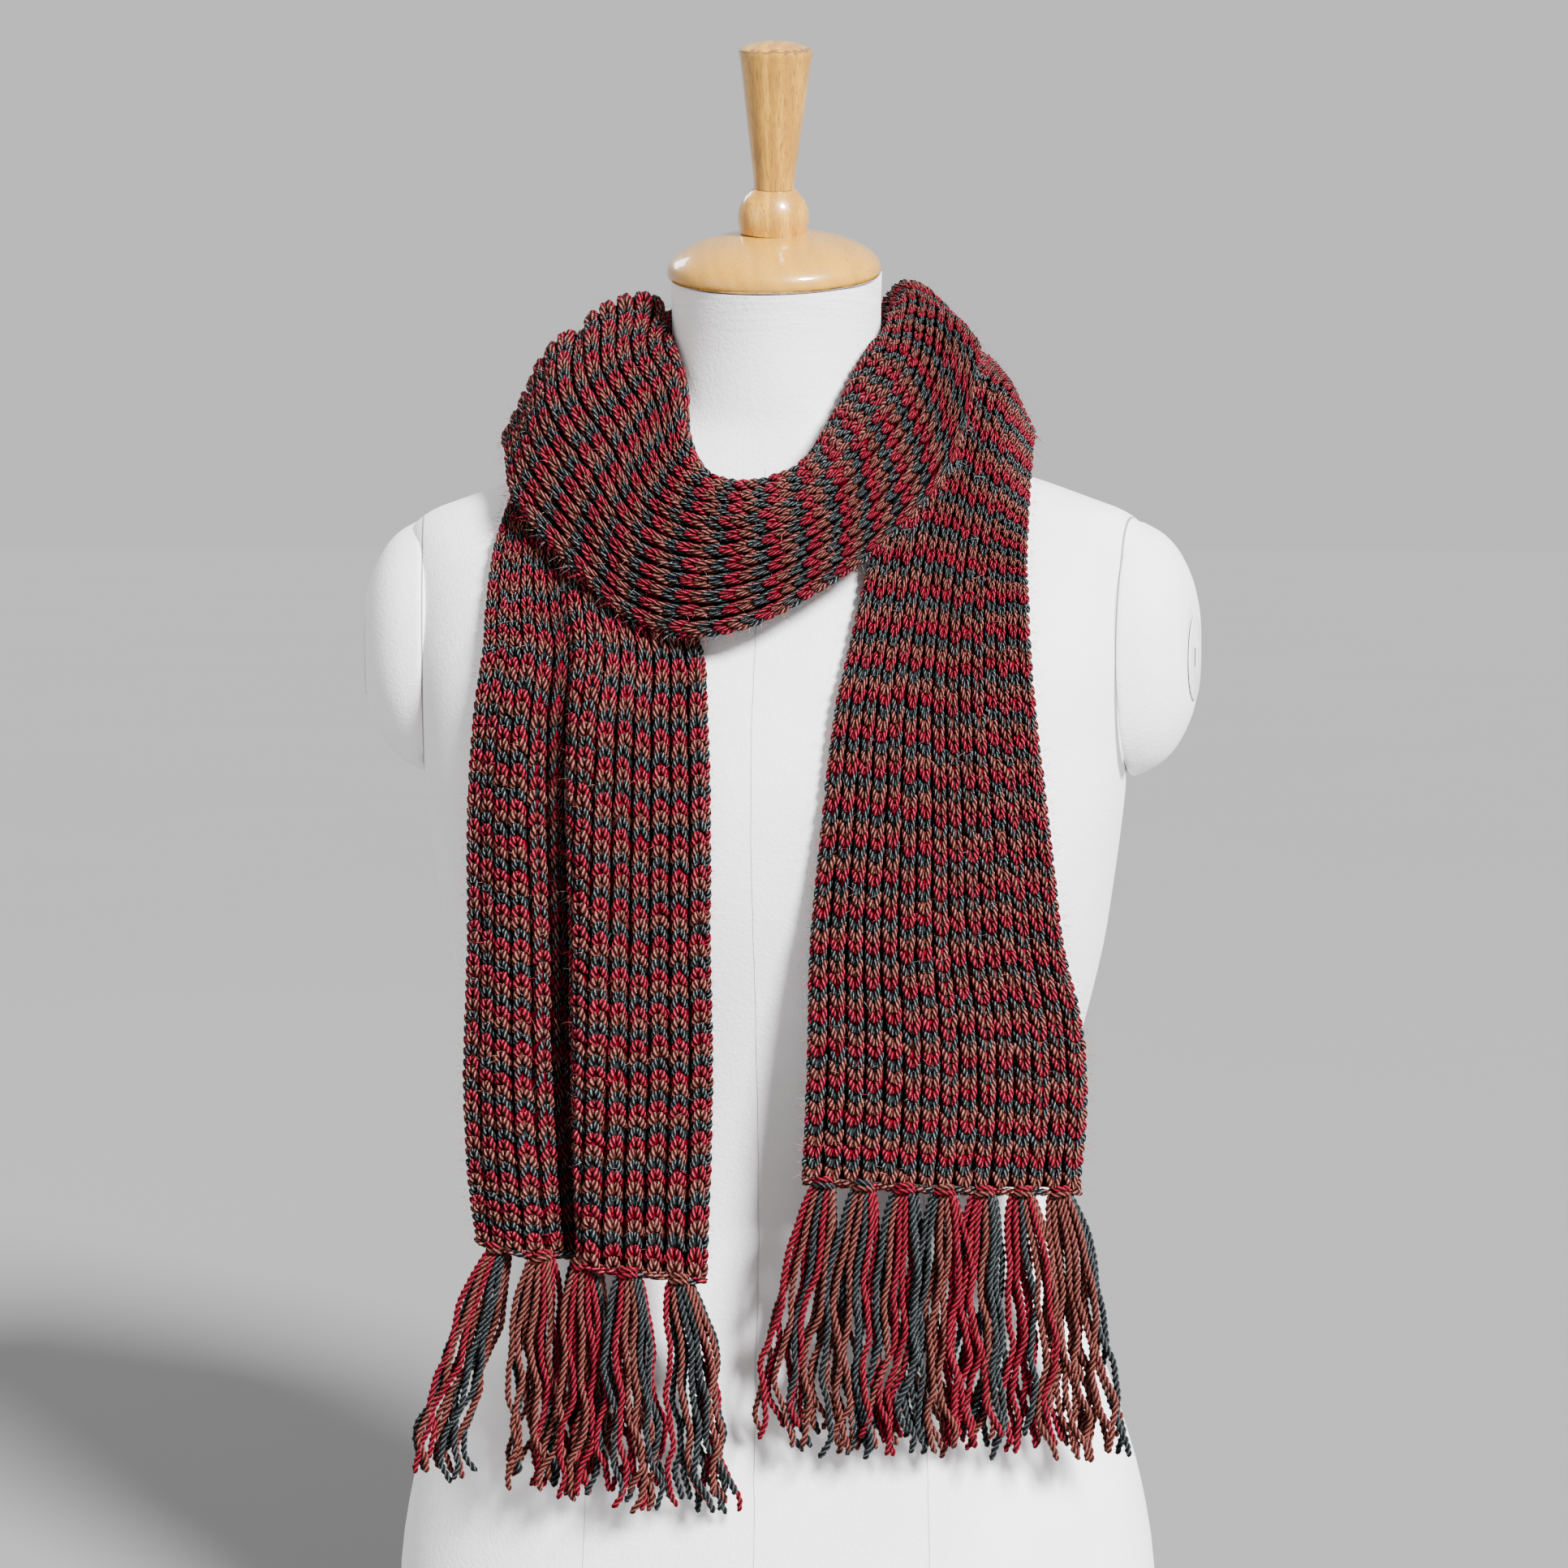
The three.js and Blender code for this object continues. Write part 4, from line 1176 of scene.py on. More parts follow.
@dataclass
class LegShape:
    """One leg of a stitch: a plump spindle that leans out from the stitch's point and dips at both ends."""

    stations: tuple[float, ...] = (0.0, 0.13, 0.38, 0.64, 0.88, 1.0)
    sides: int = 6
    rows_long: float = 1.5
    point_ahead: float = 0.6
    nominal_pitch: float = 6.1
    meet: float = 0.6
    spread: float = 2.95
    radius: float = 1.52
    middle_height: float = 2.6
    arch: float = 0.85
    shoulder_drop: float = 3.0

    def centre(self, t: Array) -> Array:
        """Places of the leg's middle line: across, along and up, in millimetres."""
        across = self.meet + self.spread * t**0.8
        along = (self.point_ahead - self.rows_long * t) * self.nominal_pitch
        drop = self.shoulder_drop * (across / (self.meet + self.spread)) ** 2
        up = self.middle_height - self.arch + 2 * self.arch * np.sin(math.pi * t) ** 0.7 - drop
        return np.stack([across, along, up], -1)

    def template(self, thickness: float = 1.0) -> Spun:
        """One leg on the right of its stitch.

        Args:
            thickness: The yarn's thickness, as a share of the usual one.

        Returns:
            The leg, with its points as (across, along, up) in millimetres.
        """
        t = np.array(self.stations)
        line = self.centre(t)
        ahead = unit(self.centre(np.minimum(t + 0.05, 1)) - self.centre(np.maximum(t - 0.05, 0)))
        out = unit(np.cross(ahead, [0, 0, 1]))
        top = np.cross(out, ahead)
        swell = thickness * self.radius * (0.5 + 0.5 * np.sin(math.pi * (0.1 + 0.8 * t)) ** 0.8)
        angles = 2 * math.pi * np.arange(self.sides) / self.sides
        ring = out[:, None] * np.cos(angles)[:, None] + top[:, None] * np.sin(angles)[:, None]
        rings = line[1:-1, None] + ring[1:-1] * swell[1:-1, None, None]
        points = np.concatenate([line[:1], rings.reshape(-1, 3), line[-1:]])
        return tube(points, self.sides, run_along(line) * MM)


class YarnHeap:
    """Many pieces of yarn gathered into one mesh, each with its own yarn and tone."""

    def __init__(self) -> None:
        """Starts empty."""
        self.points: list[Array] = []
        self.faces: dict[int, list[Array]] = {}
        self.uv: dict[int, list[Array]] = {}
        self.tones: dict[int, list[Array]] = {}
        self.shade: list[Array] = []
        self.total = 0

    def put(self, points: Array, spun: Spun, yarns: Array, shade: Array, slide: Array) -> None:
        """Adds copies of one piece of yarn.

        Args:
            points: Places of every copy, (copies, points, 3), in metres.
            spun: The piece, for its faces and UV corners.
            yarns: The yarn number of each copy.
            shade: The tone of each copy, 0 to 1.
            slide: How far each copy's twist is moved along it, in metres.
        """
        copies, count = points.shape[:2]
        start = self.total + np.arange(copies)[:, None, None] * count
        for block, corners in zip(spun.faces, spun.uv):
            size = block.shape[1]
            moved = np.broadcast_to(corners[None], (copies, *corners.shape)).copy()
            moved[..., 1] += slide[:, None, None]
            self.faces.setdefault(size, []).append((block[None] + start).reshape(-1, size))
            self.uv.setdefault(size, []).append(moved.reshape(-1, size, 2))
            self.tones.setdefault(size, []).append(np.repeat(yarns, len(block)))
        self.points.append(points.reshape(-1, 3))
        self.shade.append(np.repeat(shade, count))
        self.total += copies * count

    def piece(self, name: str, materials: list[Material]) -> Piece:
        """Makes the mesh, with its yarns' materials."""
        faces, tones, uv = ([np.concatenate(blocks[size]) for size in sorted(blocks)]
                            for blocks in (self.faces, self.tones, self.uv))
        points, shade = np.concatenate(self.points), np.concatenate(self.shade)
        return mesh_piece(name, points, faces, tones, materials, "Yarn", uv, shade)


@dataclass
class KnitStretch:
    """One stretch of the scarf: its cloth wall, and the raised stitches of its ribs."""

    name: str
    start: float
    end: float
    surface: ScarfSurface
    rows: Rows
    leg: LegShape
    # Middle of the stitches' tone, lower on the drawn-in stretches as painted shade
    tone: float
    section_step: float = 6.0
    # The wall's crest and back, how deep its ribs fold, and how much deeper where the cloth is drawn in
    crest: float = 1.7
    back: float = -2.0
    shallow: float = 2.4
    deepening: float = 3.6
    least_deep: float = 2.2
    deepest: float = 3.4
    trim: float = 0.12
    # Random differences from stitch to stitch: size, lean, tone, tone of a leg, and place
    size_noise: float = 0.07
    lean_noise: float = 0.09
    tone_noise: float = 0.055
    leg_tone_noise: float = 0.03
    place_noise: tuple[float, float, float] = (0.24, 0.34, 0.2)
    tone_limits: tuple[float, float] = (0.2, 0.7)
    # How strongly the left tail's crease darkens its stitches: painted shade
    painted_crease_shade: float = 1.2
    twist_slide: float = 8 * MM
    # How the tails' rows climb: rows for each rib, the rib to climb from, and the drop of all. The left
    # tail has two rows, the second one from its crease on. Then where along the scarf each tail's climb
    # ends, as a share of its length, and over which share it fades
    left_climb: tuple[tuple[float, float], ...] = ((0.34, 2), (0.42, 11))
    left_drop: float = 0.4
    crease_rib: int = 9
    right_climb: float = 0.17
    right_drop: float = 0.7
    left_fade: tuple[float, float] = (0.14, 0.06)
    right_fade: tuple[float, float] = (0.8, 0.08)
    hem_rows: int = 10
    # The left tail's crease: share across the cloth, spread, painted shade at the hem and its loss up the
    # cloth
    crease_share: float = 0.6
    crease_spread: float = 0.05
    crease_hem: float = 1.9
    crease_loss: float = 8.0
    # The cast-on edge's two layers: height, slide and slant, then its place noise, tone and mix of yarns
    hem_layers: tuple[tuple[float, float, float], ...] = ((1.6, 0.0, 1.0), (-1.0, 1.2, -1.0))
    hem_noise: tuple[float, float, float] = (0.3, 0.35, 0.2)
    hem_tone: float = 0.46
    hem_mix: tuple[float, float, float] = (0.12, 0.5, 0.38)
    edge_noise: tuple[float, float, float] = (0.12, 0.25, 0.12)
    edge_tone: float = 0.48
    chain_tone_noise: float = 0.05
    hairs_a_millimetre: float = 4.5
    hair_half: float = 0.09
    hair_length: tuple[float, float] = (2.2, 6.5)
    hair_tone: float = 0.62
    hairs_on_edges: float = 0.3

    def depths(self, along: Array) -> Array:
        """How deep the ribs fold at distances along the cloth, in millimetres."""
        shares = np.linspace(0, 1, self.surface.lanes + 1)
        places, _, _ = self.surface.sample(*np.broadcast_arrays(along[:, None], shares[None]))
        width = np.linalg.norm(np.diff(places, axis=1), axis=-1).sum(1) / MM
        drawn_in = 1 - width / self.surface.width
        return np.clip(self.shallow + self.deepening * drawn_in, self.least_deep, self.deepest)

    def wall(self, ground: Material) -> Piece:
        """Builds the closed cloth wall, folded into ribs on both faces."""
        low, high = self.start + self.trim * MM, self.end - self.trim * MM
        sections = max(2, int(round((high - low) / (self.section_step * MM))))
        along = np.linspace(low, high, sections + 1)
        outer = np.linspace(0, 1, self.surface.ribs * 4 + 1)
        shares = np.concatenate([outer, outer[::-1]])
        swell = 0.5 - 0.5 * np.cos(2 * math.pi * self.surface.ribs * shares)
        depth = self.depths(along)[:, None]
        outside = np.arange(len(shares)) < len(outer)
        up = np.where(outside, self.crest - depth * (1 - swell), self.back + 0.8 * depth * swell)
        places, normals, _ = self.surface.sample(*np.broadcast_arrays(along[:, None], shares[None]))
        points = places + normals * (up * MM)[..., None]
        count = len(shares)
        k, i = np.meshgrid(np.arange(sections), np.arange(count), indexing="ij")
        j = (i + 1) % count
        corners = [(i, k), (i, k + 1), (j, k + 1), (j, k)]
        quads = np.stack([b * count + a for a, b in corners], -1).reshape(-1, 4)
        numbers = self.rows.number(along)
        ribs = shares * self.surface.ribs
        uv = np.stack([np.stack([ribs[a], numbers[b]], -1) for a, b in corners], 2).reshape(-1, 4, 2)
        n = np.arange(len(outer) - 1)
        near = np.stack([n, n + 1, count - 2 - n, count - 1 - n], -1)
        caps = np.concatenate([near, near[:, ::-1] + sections * count])
        cap_uv = np.stack([ribs[caps % count], numbers[caps // count]], -1)
        blocks = [quads, caps]
        tones = [np.zeros(len(block)) for block in blocks]
        return mesh_piece(f"{self.name}_cloth", points.reshape(-1, 3), blocks, tones, [ground], "Knit",
                          [uv, cap_uv])

    def own_rows(self) -> Array:
        """Numbers of the rows whose middle lies on this stretch."""
        numbers = np.arange(len(self.rows.starts) - 1)
        middles = self.rows.distance(numbers + 0.5)
        return numbers[(middles >= self.start) & (middles < self.end)]

    def stitches(self, yarns: list[Material], rng: Rng) -> Piece:
        """Builds the raised stitches, the chain along each long edge and the cast-on edge at a hem.

        Args:
            yarns: The yarns' materials.
            rng: Source of the small differences from stitch to stitch.

        Returns:
            The stitches as one piece.
        """
        heap = YarnHeap()
        own = self.own_rows()
        for yarn in Yarn:
            self.put_stitches(heap, yarn, own[yarn_numbers(own) == yarn.value], rng)
        self.edge_chain(heap, rng)
        for hem, row_number in ((0.0, -0.3), (self.surface.along[-1], len(self.rows.starts) - 0.7)):
            if hem in (self.start, self.end):
                self.hem_chain(heap, row_number, rng)
        return heap.piece(f"{self.name}_stitches", yarns)

    def put_stitches(self, heap: YarnHeap, yarn: Yarn, rows: Array, rng: Rng) -> None:
        """Adds both legs of every stitch on the rows of one yarn."""
        leg = self.leg.template(YARNS[yarn].thickness)
        row, rib = (grid.ravel() for grid in np.meshgrid(rows, np.arange(self.surface.ribs)))
        count = len(row)
        sway = self.sway(row, rib)
        shade = rng.normal(self.tone, self.tone_noise, count)
        for mirror in (1, -1):
            local = leg.copies(count)
            local[..., 0] *= mirror * rng.normal(1, self.size_noise, (count, 1))
            local[..., 1] *= rng.normal(1, self.size_noise, (count, 1))
            local[..., 1] += local[..., 0] * rng.normal(0, self.lean_noise, (count, 1))
            local += rng.normal(0, 1, (count, 1, 3)) * np.array(self.place_noise)
            points = self.place(local, row + 0.5 + sway, (rib + 0.5) / self.surface.ribs)
            tone = np.clip(shade + rng.normal(0, self.leg_tone_noise, count), *self.tone_limits)
            # Painted shade: stitches deep in the left tail's crease are darkened
            tone = tone - self.painted_crease_shade * self.painted_crease_share(row, rib)
            heap.put(points, leg.wound(mirror > 0), np.full(count, yarn.value), tone, self.slides(count, rng))

    def slides(self, count: int, rng: Rng) -> Array:
        """How far the twist of each piece of yarn is moved along it."""
        return rng.uniform(0, self.twist_slide, count)

    def hem_chain(self, heap: YarnHeap, row_number: float, rng: Rng) -> None:
        """Adds the cast-on edge: slanting spindles in a row along the hem, in front and behind."""
        leg = self.leg.template()
        count = self.surface.ribs * 2
        share = (np.arange(count) + 0.5) / count
        outward = 1 if row_number > 0 else -1
        for up, slide, slant in self.hem_layers:
            local = leg.copies(count)
            aside, length = local[..., 0].copy(), local[..., 1].copy()
            local[..., 0] = -length
            local[..., 1] = (aside - self.leg.meet - self.leg.spread / 2) * slant + slide * outward
            local[..., 2] += up - self.leg.middle_height + 0.5
            local += rng.normal(0, 1, (count, 1, 3)) * np.array(self.hem_noise)
            points = self.place(local, np.full(count, row_number), share)
            tones = rng.choice(len(Yarn), count, p=self.hem_mix)
            shade = rng.normal(self.hem_tone, self.chain_tone_noise, count)
            heap.put(points, leg.wound(slant < 0), tones, shade, self.slides(count, rng))

    def edge_chain(self, heap: YarnHeap, rng: Rng) -> None:
        """Adds one slanting leg for each row on both long edges of the cloth."""
        leg = self.leg.template()
        row = self.own_rows()
        count = len(row)
        for share, out in ((0.0, -1), (1.0, 1)):
            local = leg.copies(count)
            lean, height = local[..., 0].copy(), local[..., 2].copy()
            local[..., 0] = out * (height - self.leg.middle_height + 0.3)
            local[..., 2] = 2.0 - lean
            local += rng.normal(0, 1, (count, 1, 3)) * np.array(self.edge_noise)
            points = self.place(local, row + 0.5, np.full(count, share))
            shade = rng.normal(self.edge_tone, self.chain_tone_noise, count)
            heap.put(points, leg.wound(out < 0), yarn_numbers(row), shade, self.slides(count, rng))

    def sway(self, row: Array, rib: Array) -> Array:
        """How far a rib's rows run ahead of the middle, in rows.

        Every rib ripples a little. The left tail's rows climb to the right up to its crease and again
        past it, and the right tail's rows climb over its inner ribs.
        """
        last = len(self.rows.starts) - 1
        free = np.clip(np.minimum(row, last - 1 - row) / self.hem_rows, 0, 1)
        ripple = sum(height * np.sin(rib * a + row * b + start) for height, a, b, start in RIPPLES)
        (near, near_rib), (far, far_rib) = self.left_climb
        left = np.where(rib < self.crease_rib, near * np.maximum(rib - near_rib, 0), far * (rib - far_rib))
        left = left - self.left_drop
        right = self.right_climb * np.minimum(rib, self.crease_rib) - self.right_drop
        on_left = np.clip(1 - (row / last - self.left_fade[0]) / self.left_fade[1], 0, 1)
        on_right = np.clip((row / last - self.right_fade[0]) / self.right_fade[1], 0, 1)
        return free * (ripple + on_left * left + on_right * right)

    def painted_crease_share(self, row: Array, rib: Array) -> Array:
        """How deep a stitch is shut away in the left tail's crease, 0 to 1, as the share of painted shade
        that darkens it.
        """
        share = (rib + 0.5) / self.surface.ribs
        fading = np.clip(self.crease_hem - self.crease_loss * row / len(self.rows.starts), 0, 1)
        return fading * np.exp(-(((share - self.crease_share) / self.crease_spread) ** 2))

    def place(self, local: Array, row: Array, share: Array) -> Array:
        """Lays local points (across, along, up) on the cloth, about a row number and a share across."""
        along = self.rows.distance(row[:, None] + local[..., 1] / self.leg.nominal_pitch)
        across = share[:, None] + local[..., 0] / self.surface.width
        places, normals, _ = self.surface.sample(along, across)
        return places + normals * (local[..., 2] * MM)[..., None]

    def fuzz(self, yarns: list[Material], rng: Rng) -> Piece:
        """Builds the fine loose hairs that stand out from the yarn, as narrow curved ribbons.

        Args:
            yarns: The yarns' materials.
            rng: Source of their places and curls.

        Returns:
            The hairs as one piece.
        """
        count = int((self.end - self.start) / MM * self.hairs_a_millimetre)
        along = rng.uniform(self.start, self.end, count)
        on_edge = rng.random(count) < self.hairs_on_edges
        across = np.where(on_edge, rng.choice([0.0, 1.0], count), rng.uniform(0, 1, count))
        places, normals, forwards = self.surface.sample(along, across)
        sides = np.cross(normals, forwards)
        out = np.where(across == 0, -1, np.where(across == 1, 1, 0))[:, None]
        lie = unit(rng.normal(0, 1, (count, 3)))
        start = places + normals * self.leg.middle_height * MM + sides * out * 1.5 * MM
        aim = unit(normals * (1 - 0.6 * np.abs(out)) + sides * out * 1.2 + lie * 0.8)
        bend = np.cross(aim, unit(rng.normal(0, 1, (count, 3))))
        long = rng.uniform(*self.hair_length, count)[:, None] * MM
        t = np.array([0.0, 0.35, 0.7, 1.0])
        curl = bend[:, None] * (t**2)[None, :, None] * 0.55
        path = start[:, None] + (aim[:, None] * t[None, :, None] + curl) * long[:, None]
        wide = unit(np.cross(aim, bend))[:, None] * (self.hair_half * MM * (1.1 - t))[None, :, None]
        points = np.stack([path - wide, path + wide], 2).reshape(count, -1, 3)
        n = np.arange(len(t) - 1) * 2
        ribbon = Spun(points[0], [np.stack([n, n + 1, n + 3, n + 2], -1)], [np.full((len(n), 4, 2), 0.5)])
        heap = YarnHeap()
        row = np.floor(self.rows.number(along)).astype(int)
        heap.put(points, ribbon, yarn_numbers(row), np.full(count, self.hair_tone), np.zeros(count))
        return heap.piece(f"{self.name}_fuzz", yarns)

    def build(self, ground: Material, yarns: list[Material], rng: Rng) -> tuple[Piece, list[Piece]]:
        """Builds and dresses the wall, and the stitches and loose hairs on it."""
        wall = finish_piece(self.wall(ground), (f"scarf_{self.name}",))
        stitches = finish_piece(self.stitches(yarns, rng))
        return wall, [stitches, finish_piece(self.fuzz(yarns, rng))]


@dataclass
class Fringe:
    """Bundles of plied strands looped through one hem, with their knots."""

    node: str
    surface: ScarfSurface
    at_end: bool
    leans: tuple[float, ...]
    length: float
    columns: int = 5
    layers: int = 3
    radius: float = 1.58
    turn: float = 10.8
    ring_step: float = 1.1
    plies: int = 3
    ridge: float = 0.13
    drop: float = 3.2
    column_pitch: tuple[float, float] = (2.0, 4.9)
    layer_pitch: tuple[float, float] = (2.2, 4.6)
    spread_power: float = 1.6
    fan_power: float = 6.0
    path_points: int = 40
    # Reach in millimetres and turns over the strand's length: of the bundle's wave, and of a strand's
    # own curl, kink and swing from front to back, then how far its tip curls aside
    wave: tuple[float, float] = (3.4, 1.1)
    curl: tuple[float, float] = (3.0, 2.6)
    kink: tuple[float, float] = (0.7, 6.5)
    swing: tuple[float, float] = (1.2, 1.7)
    tip_curl: float = 14.0
    # A knot's wraps: level and half width, then how far each bows out in front of the strands
    wraps: tuple[tuple[float, float], ...] = ((-2.4, 4.2), (0.2, 4.8))
    wrap_bow: float = 2.4
    wrap_out: float = 2.8
    wrap_mix: tuple[float, float, float] = (0.14, 0.5, 0.36)
    wrap_slant: float = 0.7
    strand_mix: tuple[float, float, float] = (0.28, 0.41, 0.31)
    # Random differences from strand to strand
    length_range: tuple[float, float] = (0.93, 1.05)
    radius_range: tuple[float, float] = (0.92, 1.08)
    aside_noise: float = 0.22
    phase_step: float = 0.37
    phase_noise: float = 0.08
    tone: float = 0.5
    tone_noise: float = 0.05
    strays: tuple[tuple[int, float], ...] = ()

    def knots(self) -> tuple[Array, Array, Array, Array]:
        """Places, normals, directions down and directions across of the knots under the hem."""
        share = (np.arange(len(self.leans)) + 0.5) / len(self.leans)
        along = np.full(len(share), self.surface.along[-1] if self.at_end else 0.0)
        places, normals, forwards = self.surface.sample(along, share)
        down = forwards if self.at_end else -forwards
        return places + down * self.drop * MM, normals, down, np.cross(normals, down)

    def rope(self, heap: YarnHeap, path: Array, yarn: Yarn, shade: float, radius: float) -> None:
        """Adds one plied strand along a path in metres, whose sides wind with its plies."""
        run = run_along(path)
        count = max(4, int(run[-1] / (self.ring_step * MM)))
        length = np.linspace(0, run[-1], count)
        line = np.stack([np.interp(length, run, path[:, axis]) for axis in range(3)], -1)
        ahead = unit(np.gradient(line, axis=0))
        out = unit(np.cross(np.array([0.05, 1.0, 0.03]), ahead))
        front = np.cross(ahead, out)
        sides = self.plies * 2
        lobes = np.where(np.arange(sides) % 2 == 0, 1 + self.ridge, 1 - self.ridge * 1.6)
        angles = 2 * math.pi * (np.arange(sides)[None] / sides + length[:, None] / (self.turn * MM))
        taper = np.minimum(1, 0.55 + 0.25 * np.arange(count)[::-1])[:, None]
        reach = radius * MM * lobes[None] * taper
        rings = line[:, None] + (out[:, None] * np.cos(angles)[..., None]
                                 + front[:, None] * np.sin(angles)[..., None]) * reach[..., None]
        points = np.concatenate([line[:1], rings[1:-1].reshape(-1, 3), line[-1:]])
        strand = tube(points, sides, length)
        heap.put(points[None], strand, np.array([yarn.value]), np.array([shade]), np.zeros(1))

    def strand_path(self, knot: Array, bundle: int, column: int, layer: int, rng: Rng) -> Array:
        """The path of one strand, from inside its knot to its tip, in metres."""
        t = np.linspace(0, 1, self.path_points)
        length = self.length * rng.uniform(*self.length_range)
        ease = 1 - (1 - t) ** self.spread_power
        fan = 1 - (1 - t) ** self.fan_power
        aside = column - (self.columns - 1) / 2 + (layer - 1) / self.layers
        aside += rng.uniform(-self.aside_noise, self.aside_noise)
        front = layer - (self.layers - 1) / 2
        number = (bundle * self.columns + column) * self.layers + layer
        lean = self.leans[bundle] + sum(extra for n, extra in self.strays if n == number)
        phase = (bundle * self.phase_step + rng.uniform(-self.phase_noise, self.phase_noise)) % 1
        second = rng.uniform(0, 1, 3)

        def swings(shape: tuple[float, float], start: float) -> Array:
            """A wave that grows down the strand, from its reach and turns."""
            return shape[0] * t * np.sin(2 * math.pi * (shape[1] * t + start))

        def pitch(ends: tuple[float, float]) -> Array:
            """Distance between neighbours, from the knot's to the tips'."""
            return ends[0] * (1 - fan) + ends[1] * fan

        curl = swings(self.curl, second[0]) + self.tip_curl * t**3 * (second[1] - 0.5)
        curl = curl + swings(self.kink, second[2])
        x = lean * ease + pitch(self.column_pitch) * aside + swings(self.wave, phase) + curl
        y = pitch(self.layer_pitch) * front
        y = y + swings(self.swing, second[2])
        return knot + np.stack([x, y, -length * t], -1) * MM

    def knot_path(self, knot: Array, normal: Array, down: Array, across: Array, wrap: tuple[float, float],
                  slant: float) -> Array:
        """One wrap of a knot: an arc that bows out in front of the strands, in metres."""
        level, half = wrap
        t = np.linspace(-1, 1, 15)[:, None]
        bow = (1 - t**2) * self.wrap_bow + self.wrap_out
        tuck = np.where(np.abs(t) > 0.8, (np.abs(t) - 0.8) * 14, 0)
        fall = down * (level + slant * t - 1.2 * (1 - t**2))
        return knot + (across * t * half + normal * (bow - tuck) + fall) * MM

    def build(self, yarns: list[Material], rng: Rng) -> Piece:
        """Builds and dresses the strands and the knots."""
        heap = YarnHeap()
        for bundle, (knot, normal, down, across) in enumerate(zip(*self.knots())):
            for item, yarn in enumerate(self.yarn_runs(rng)):
                path = self.strand_path(knot, bundle, *divmod(item, self.layers), rng)
                shade = rng.normal(self.tone, self.tone_noise)
                self.rope(heap, path, yarn, shade, self.radius * rng.uniform(*self.radius_range))
            for wrap in self.wraps:
                slant = rng.uniform(-self.wrap_slant, self.wrap_slant)
                path = self.knot_path(knot, normal, down, across, wrap, slant)
                yarn = Yarn(int(rng.choice(len(Yarn), p=self.wrap_mix)))
                self.rope(heap, path, yarn, self.tone, self.radius)
        return finish_piece(heap.piece(f"{self.node}_yarn", yarns), (self.node,))

    def yarn_runs(self, rng: Rng) -> list[Yarn]:
        """Yarns for the strands of one bundle, in short runs of one yarn as they were cut together."""
        count = self.columns * self.layers
        runs: list[Yarn] = []
        while len(runs) < count:
            yarn = Yarn(int(rng.choice(len(Yarn), p=self.strand_mix)))
            runs += [yarn] * int(rng.integers(1, 3))
        return runs[:count]


@dataclass
class Scarf:
    """The whole scarf: five stretches from the left hem to the right hem, and a fringe at each hem."""

    seed: int = 11
    # Middle tones of the stitches on the hanging tails and on the drawn-in stretches; the lower one is
    # painted shade
    hung_tone: float = 0.58
    loop_painted_shade_tone: float = 0.4

    def build(self) -> None:
        surface = ScarfSurface()
        rows = Rows(surface)
        log.info("scarf %.3f m long in %d rows", surface.along[-1], len(rows.starts) - 1)
        ground = KnitFaceFinish().build()
        yarns = [YARNS[yarn].build() for yarn in Yarn]
        spun = [YARNS[yarn].build(spun=True) for yarn in Yarn]
        rng = np.random.default_rng(self.seed)
        drawn_in = LegShape(rows_long=1.58, point_ahead=0.68, meet=0.4, spread=3.1, radius=1.48,
                            shoulder_drop=3.4)
        fringes = {
            "tail_left": Fringe("fringe_left", surface, at_end=False, leans=(14, 3, 0, -2, -4, -27),
                                length=113, strays=((5, 8.0), (40, 10.0), (71, -8.0))),
            "tail_right": Fringe("fringe_right", surface, at_end=True, leans=(-16, -9, -6, -3, -4, 9, 17),
                                 length=128, strays=((2, -5.0), (58, 12.0), (83, 10.0))),
        }
        shoulder, turned = len(LEFT_TAIL) - 1, len(LEFT_TAIL) + len(WINDING)
        at = {row[0]: len(LEFT_TAIL) + n for n, row in enumerate(WINDING)}
        last = turned + len(RIGHT_TAIL) - 1
        stretches = (
            ("tail_left", 0, shoulder, "hung", ("form_cover",)),
            ("back_inner", shoulder, at[270], "draped", ("form_cover",)),
            ("front_loop", at[270], at[450], "draped", ("tail_left_cloth", "tail_right_cloth")),
            ("back_outer", at[450], turned, "draped", ("form_cover", "back_inner_cloth")),
            ("tail_right", turned, last, "hung", ("form_cover",)),
        )
        for name, start, end, held, rests_on in stretches:
            # The drawn-in stretches get the darker tone, a painted shade
            leg, tone = (LegShape(), self.hung_tone) if held == "hung" else (drawn_in, self.loop_painted_shade_tone)
            low, high = surface.distance(start), surface.distance(end)
            stretch = KnitStretch(name, low, high, surface, rows, leg, tone)
            wall, extras = stretch.build(ground, yarns, rng)
            if name in fringes:
                extras.append(fringes[name].build(spun, rng))
            flat = (surface.width * MM, stretch.end - stretch.start)


# Studio


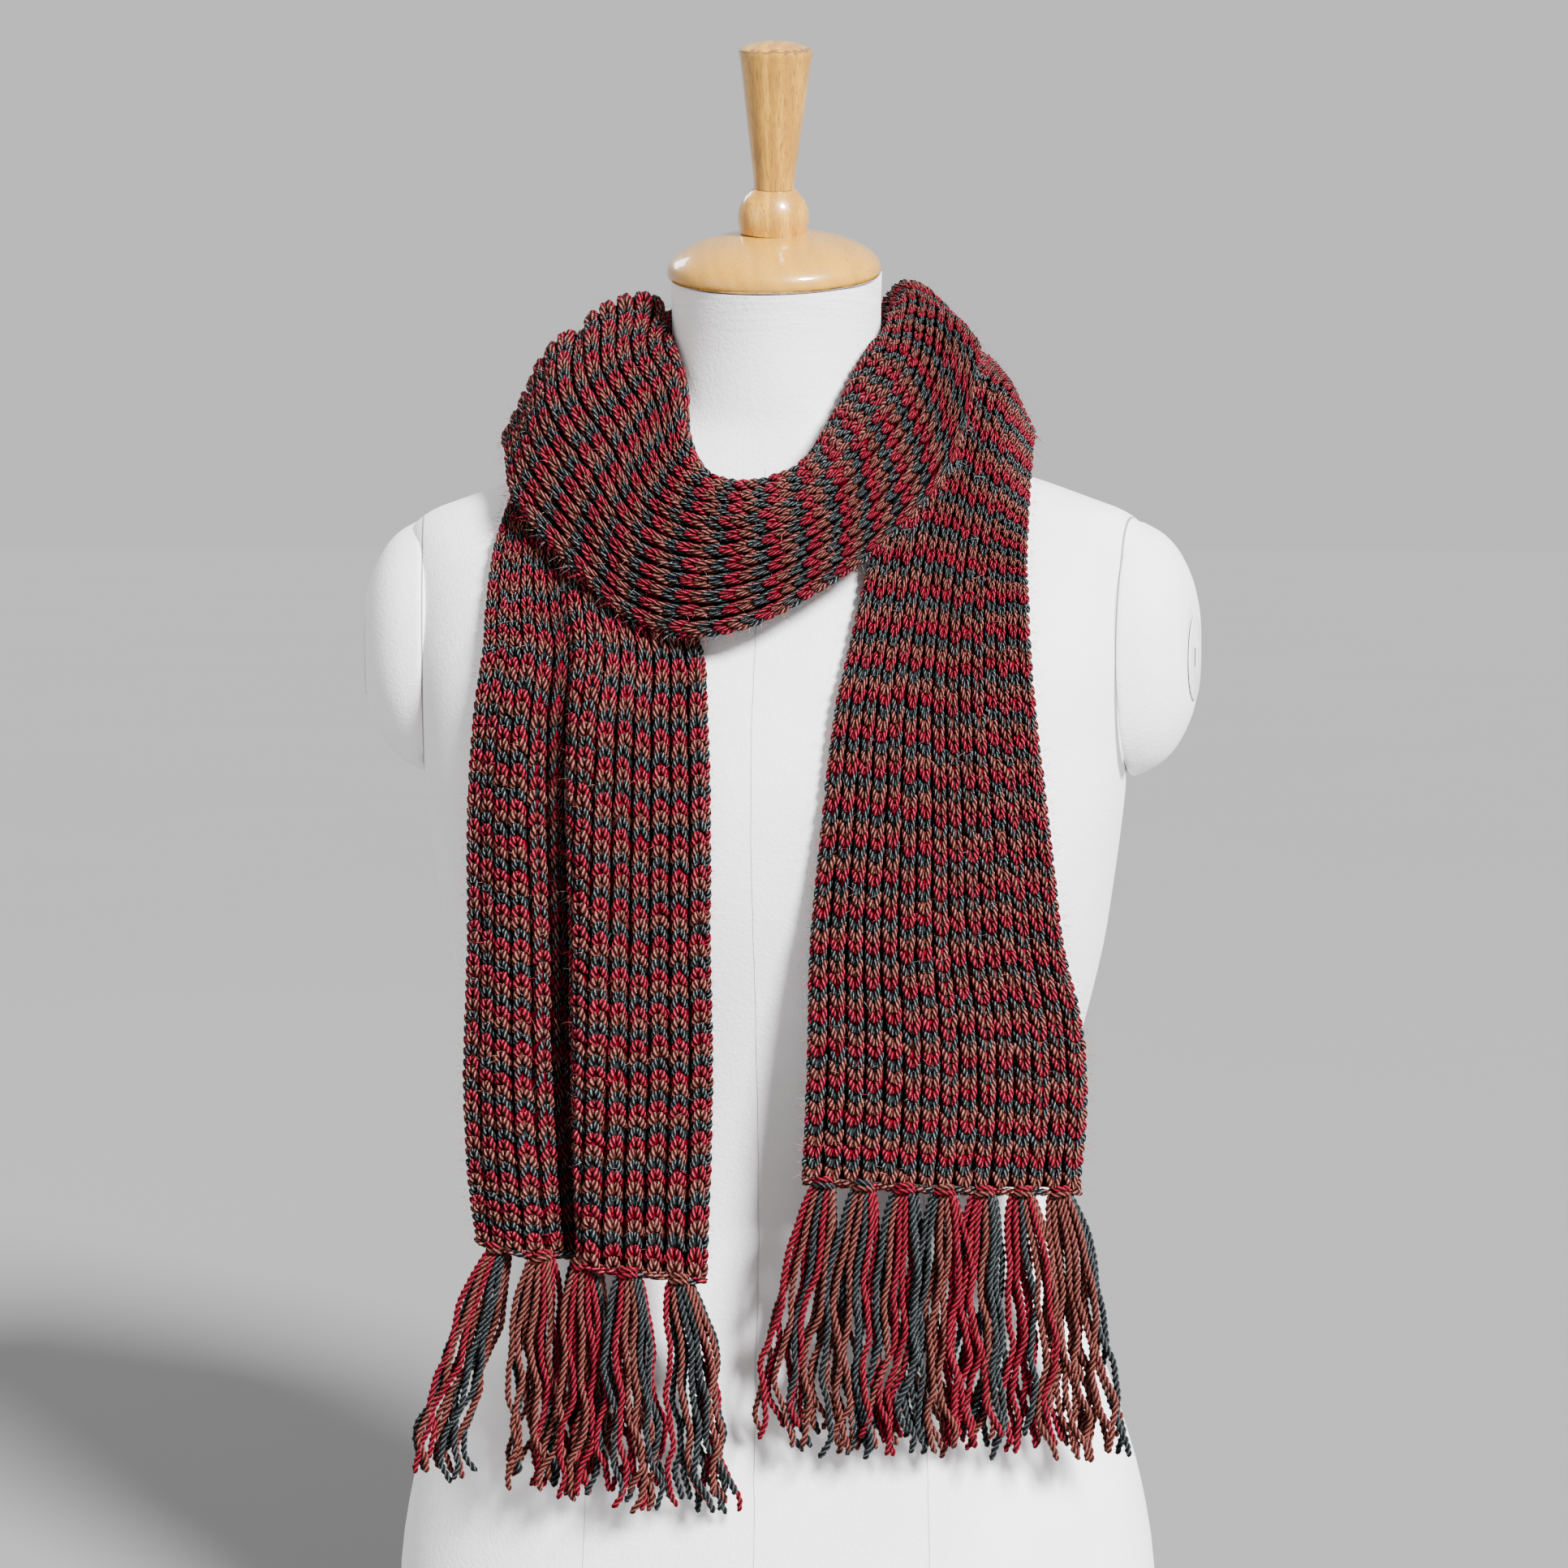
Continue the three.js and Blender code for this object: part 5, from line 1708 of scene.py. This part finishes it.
@dataclass
class Studio:
    """Pale floor, soft light and the camera at the photograph's angle."""

    eye: tuple[float, float, float] = (0.22245, -2.08015, 0.65303)
    target: tuple[float, float, float] = (0.00378, 0.0004, 0.470)
    lens: float = 93.17
    sensor: float = 36.0
    world_light: float = 0.8
    sun_strength: float = 14.5
    sun_softness: float = 14.0
    sun_from: tuple[float, float, float] = (0.85, -1.0, 0.85)
    world_colour: Colour = (0.90, 0.90, 0.91, 1)
    floor_size: float = 40.0
    clip: tuple[float, float] = (0.05, 50.0)

    def light(self, name: str, place: tuple[float, float, float], size: float, power: float) -> None:
        """Adds a soft square lamp that looks at the target."""
        data = bpy.data.lights.new(name, "AREA")
        data.size = size
        data.energy = power
        lamp = bpy.data.objects.new(name, data)
        lamp.location = place
        lamp.rotation_euler = (Vector(self.target) - Vector(place)).to_track_quat("-Z", "Y").to_euler()
        bpy.context.scene.collection.objects.link(lamp)

    def build(self) -> None:
        """Builds the floor, the lamps, the world and the camera."""
        clear_selection()
        bpy.ops.mesh.primitive_plane_add(size=self.floor_size)
        floor = bpy.context.active_object
        floor.name = "studio_floor"
        wear(floor, FloorFinish().build())
        sun = bpy.data.lights.new("key_light", "SUN")
        sun.energy = self.sun_strength
        sun.angle = math.radians(self.sun_softness)
        key = bpy.data.objects.new("key_light", sun)
        key.rotation_euler = Vector(self.sun_from).to_track_quat("Z", "Y").to_euler()
        bpy.context.scene.collection.objects.link(key)
        self.light("fill_light", (-2.2, -1.6, 1.1), 1.8, 10)
        self.light("rim_light", (-1.4, 1.6, 1.9), 0.6, 13)
        world = bpy.data.worlds.new("studio_world")
        world.use_nodes = True
        sky = world.node_tree.nodes["Background"]
        sky.inputs[0].default_value = self.world_colour
        sky.inputs[1].default_value = self.world_light
        bpy.context.scene.world = world
        data = bpy.data.cameras.new("photo_camera")
        data.lens = self.lens
        data.sensor_width = self.sensor
        data.sensor_fit = "HORIZONTAL"
        data.clip_start, data.clip_end = self.clip
        camera = bpy.data.objects.new("photo_camera", data)
        camera.location = self.eye
        camera.rotation_euler = (Vector(self.target) - Vector(self.eye)).to_track_quat("-Z", "Y").to_euler()
        bpy.context.scene.collection.objects.link(camera)
        bpy.context.scene.camera = camera


def main() -> None:
    logging.basicConfig(level=logging.INFO, format="%(message)s")
    DressForm().build()
    NeckWood().build()
    Scarf().build()
    Studio().build()


if __name__ == "__main__":
    main()
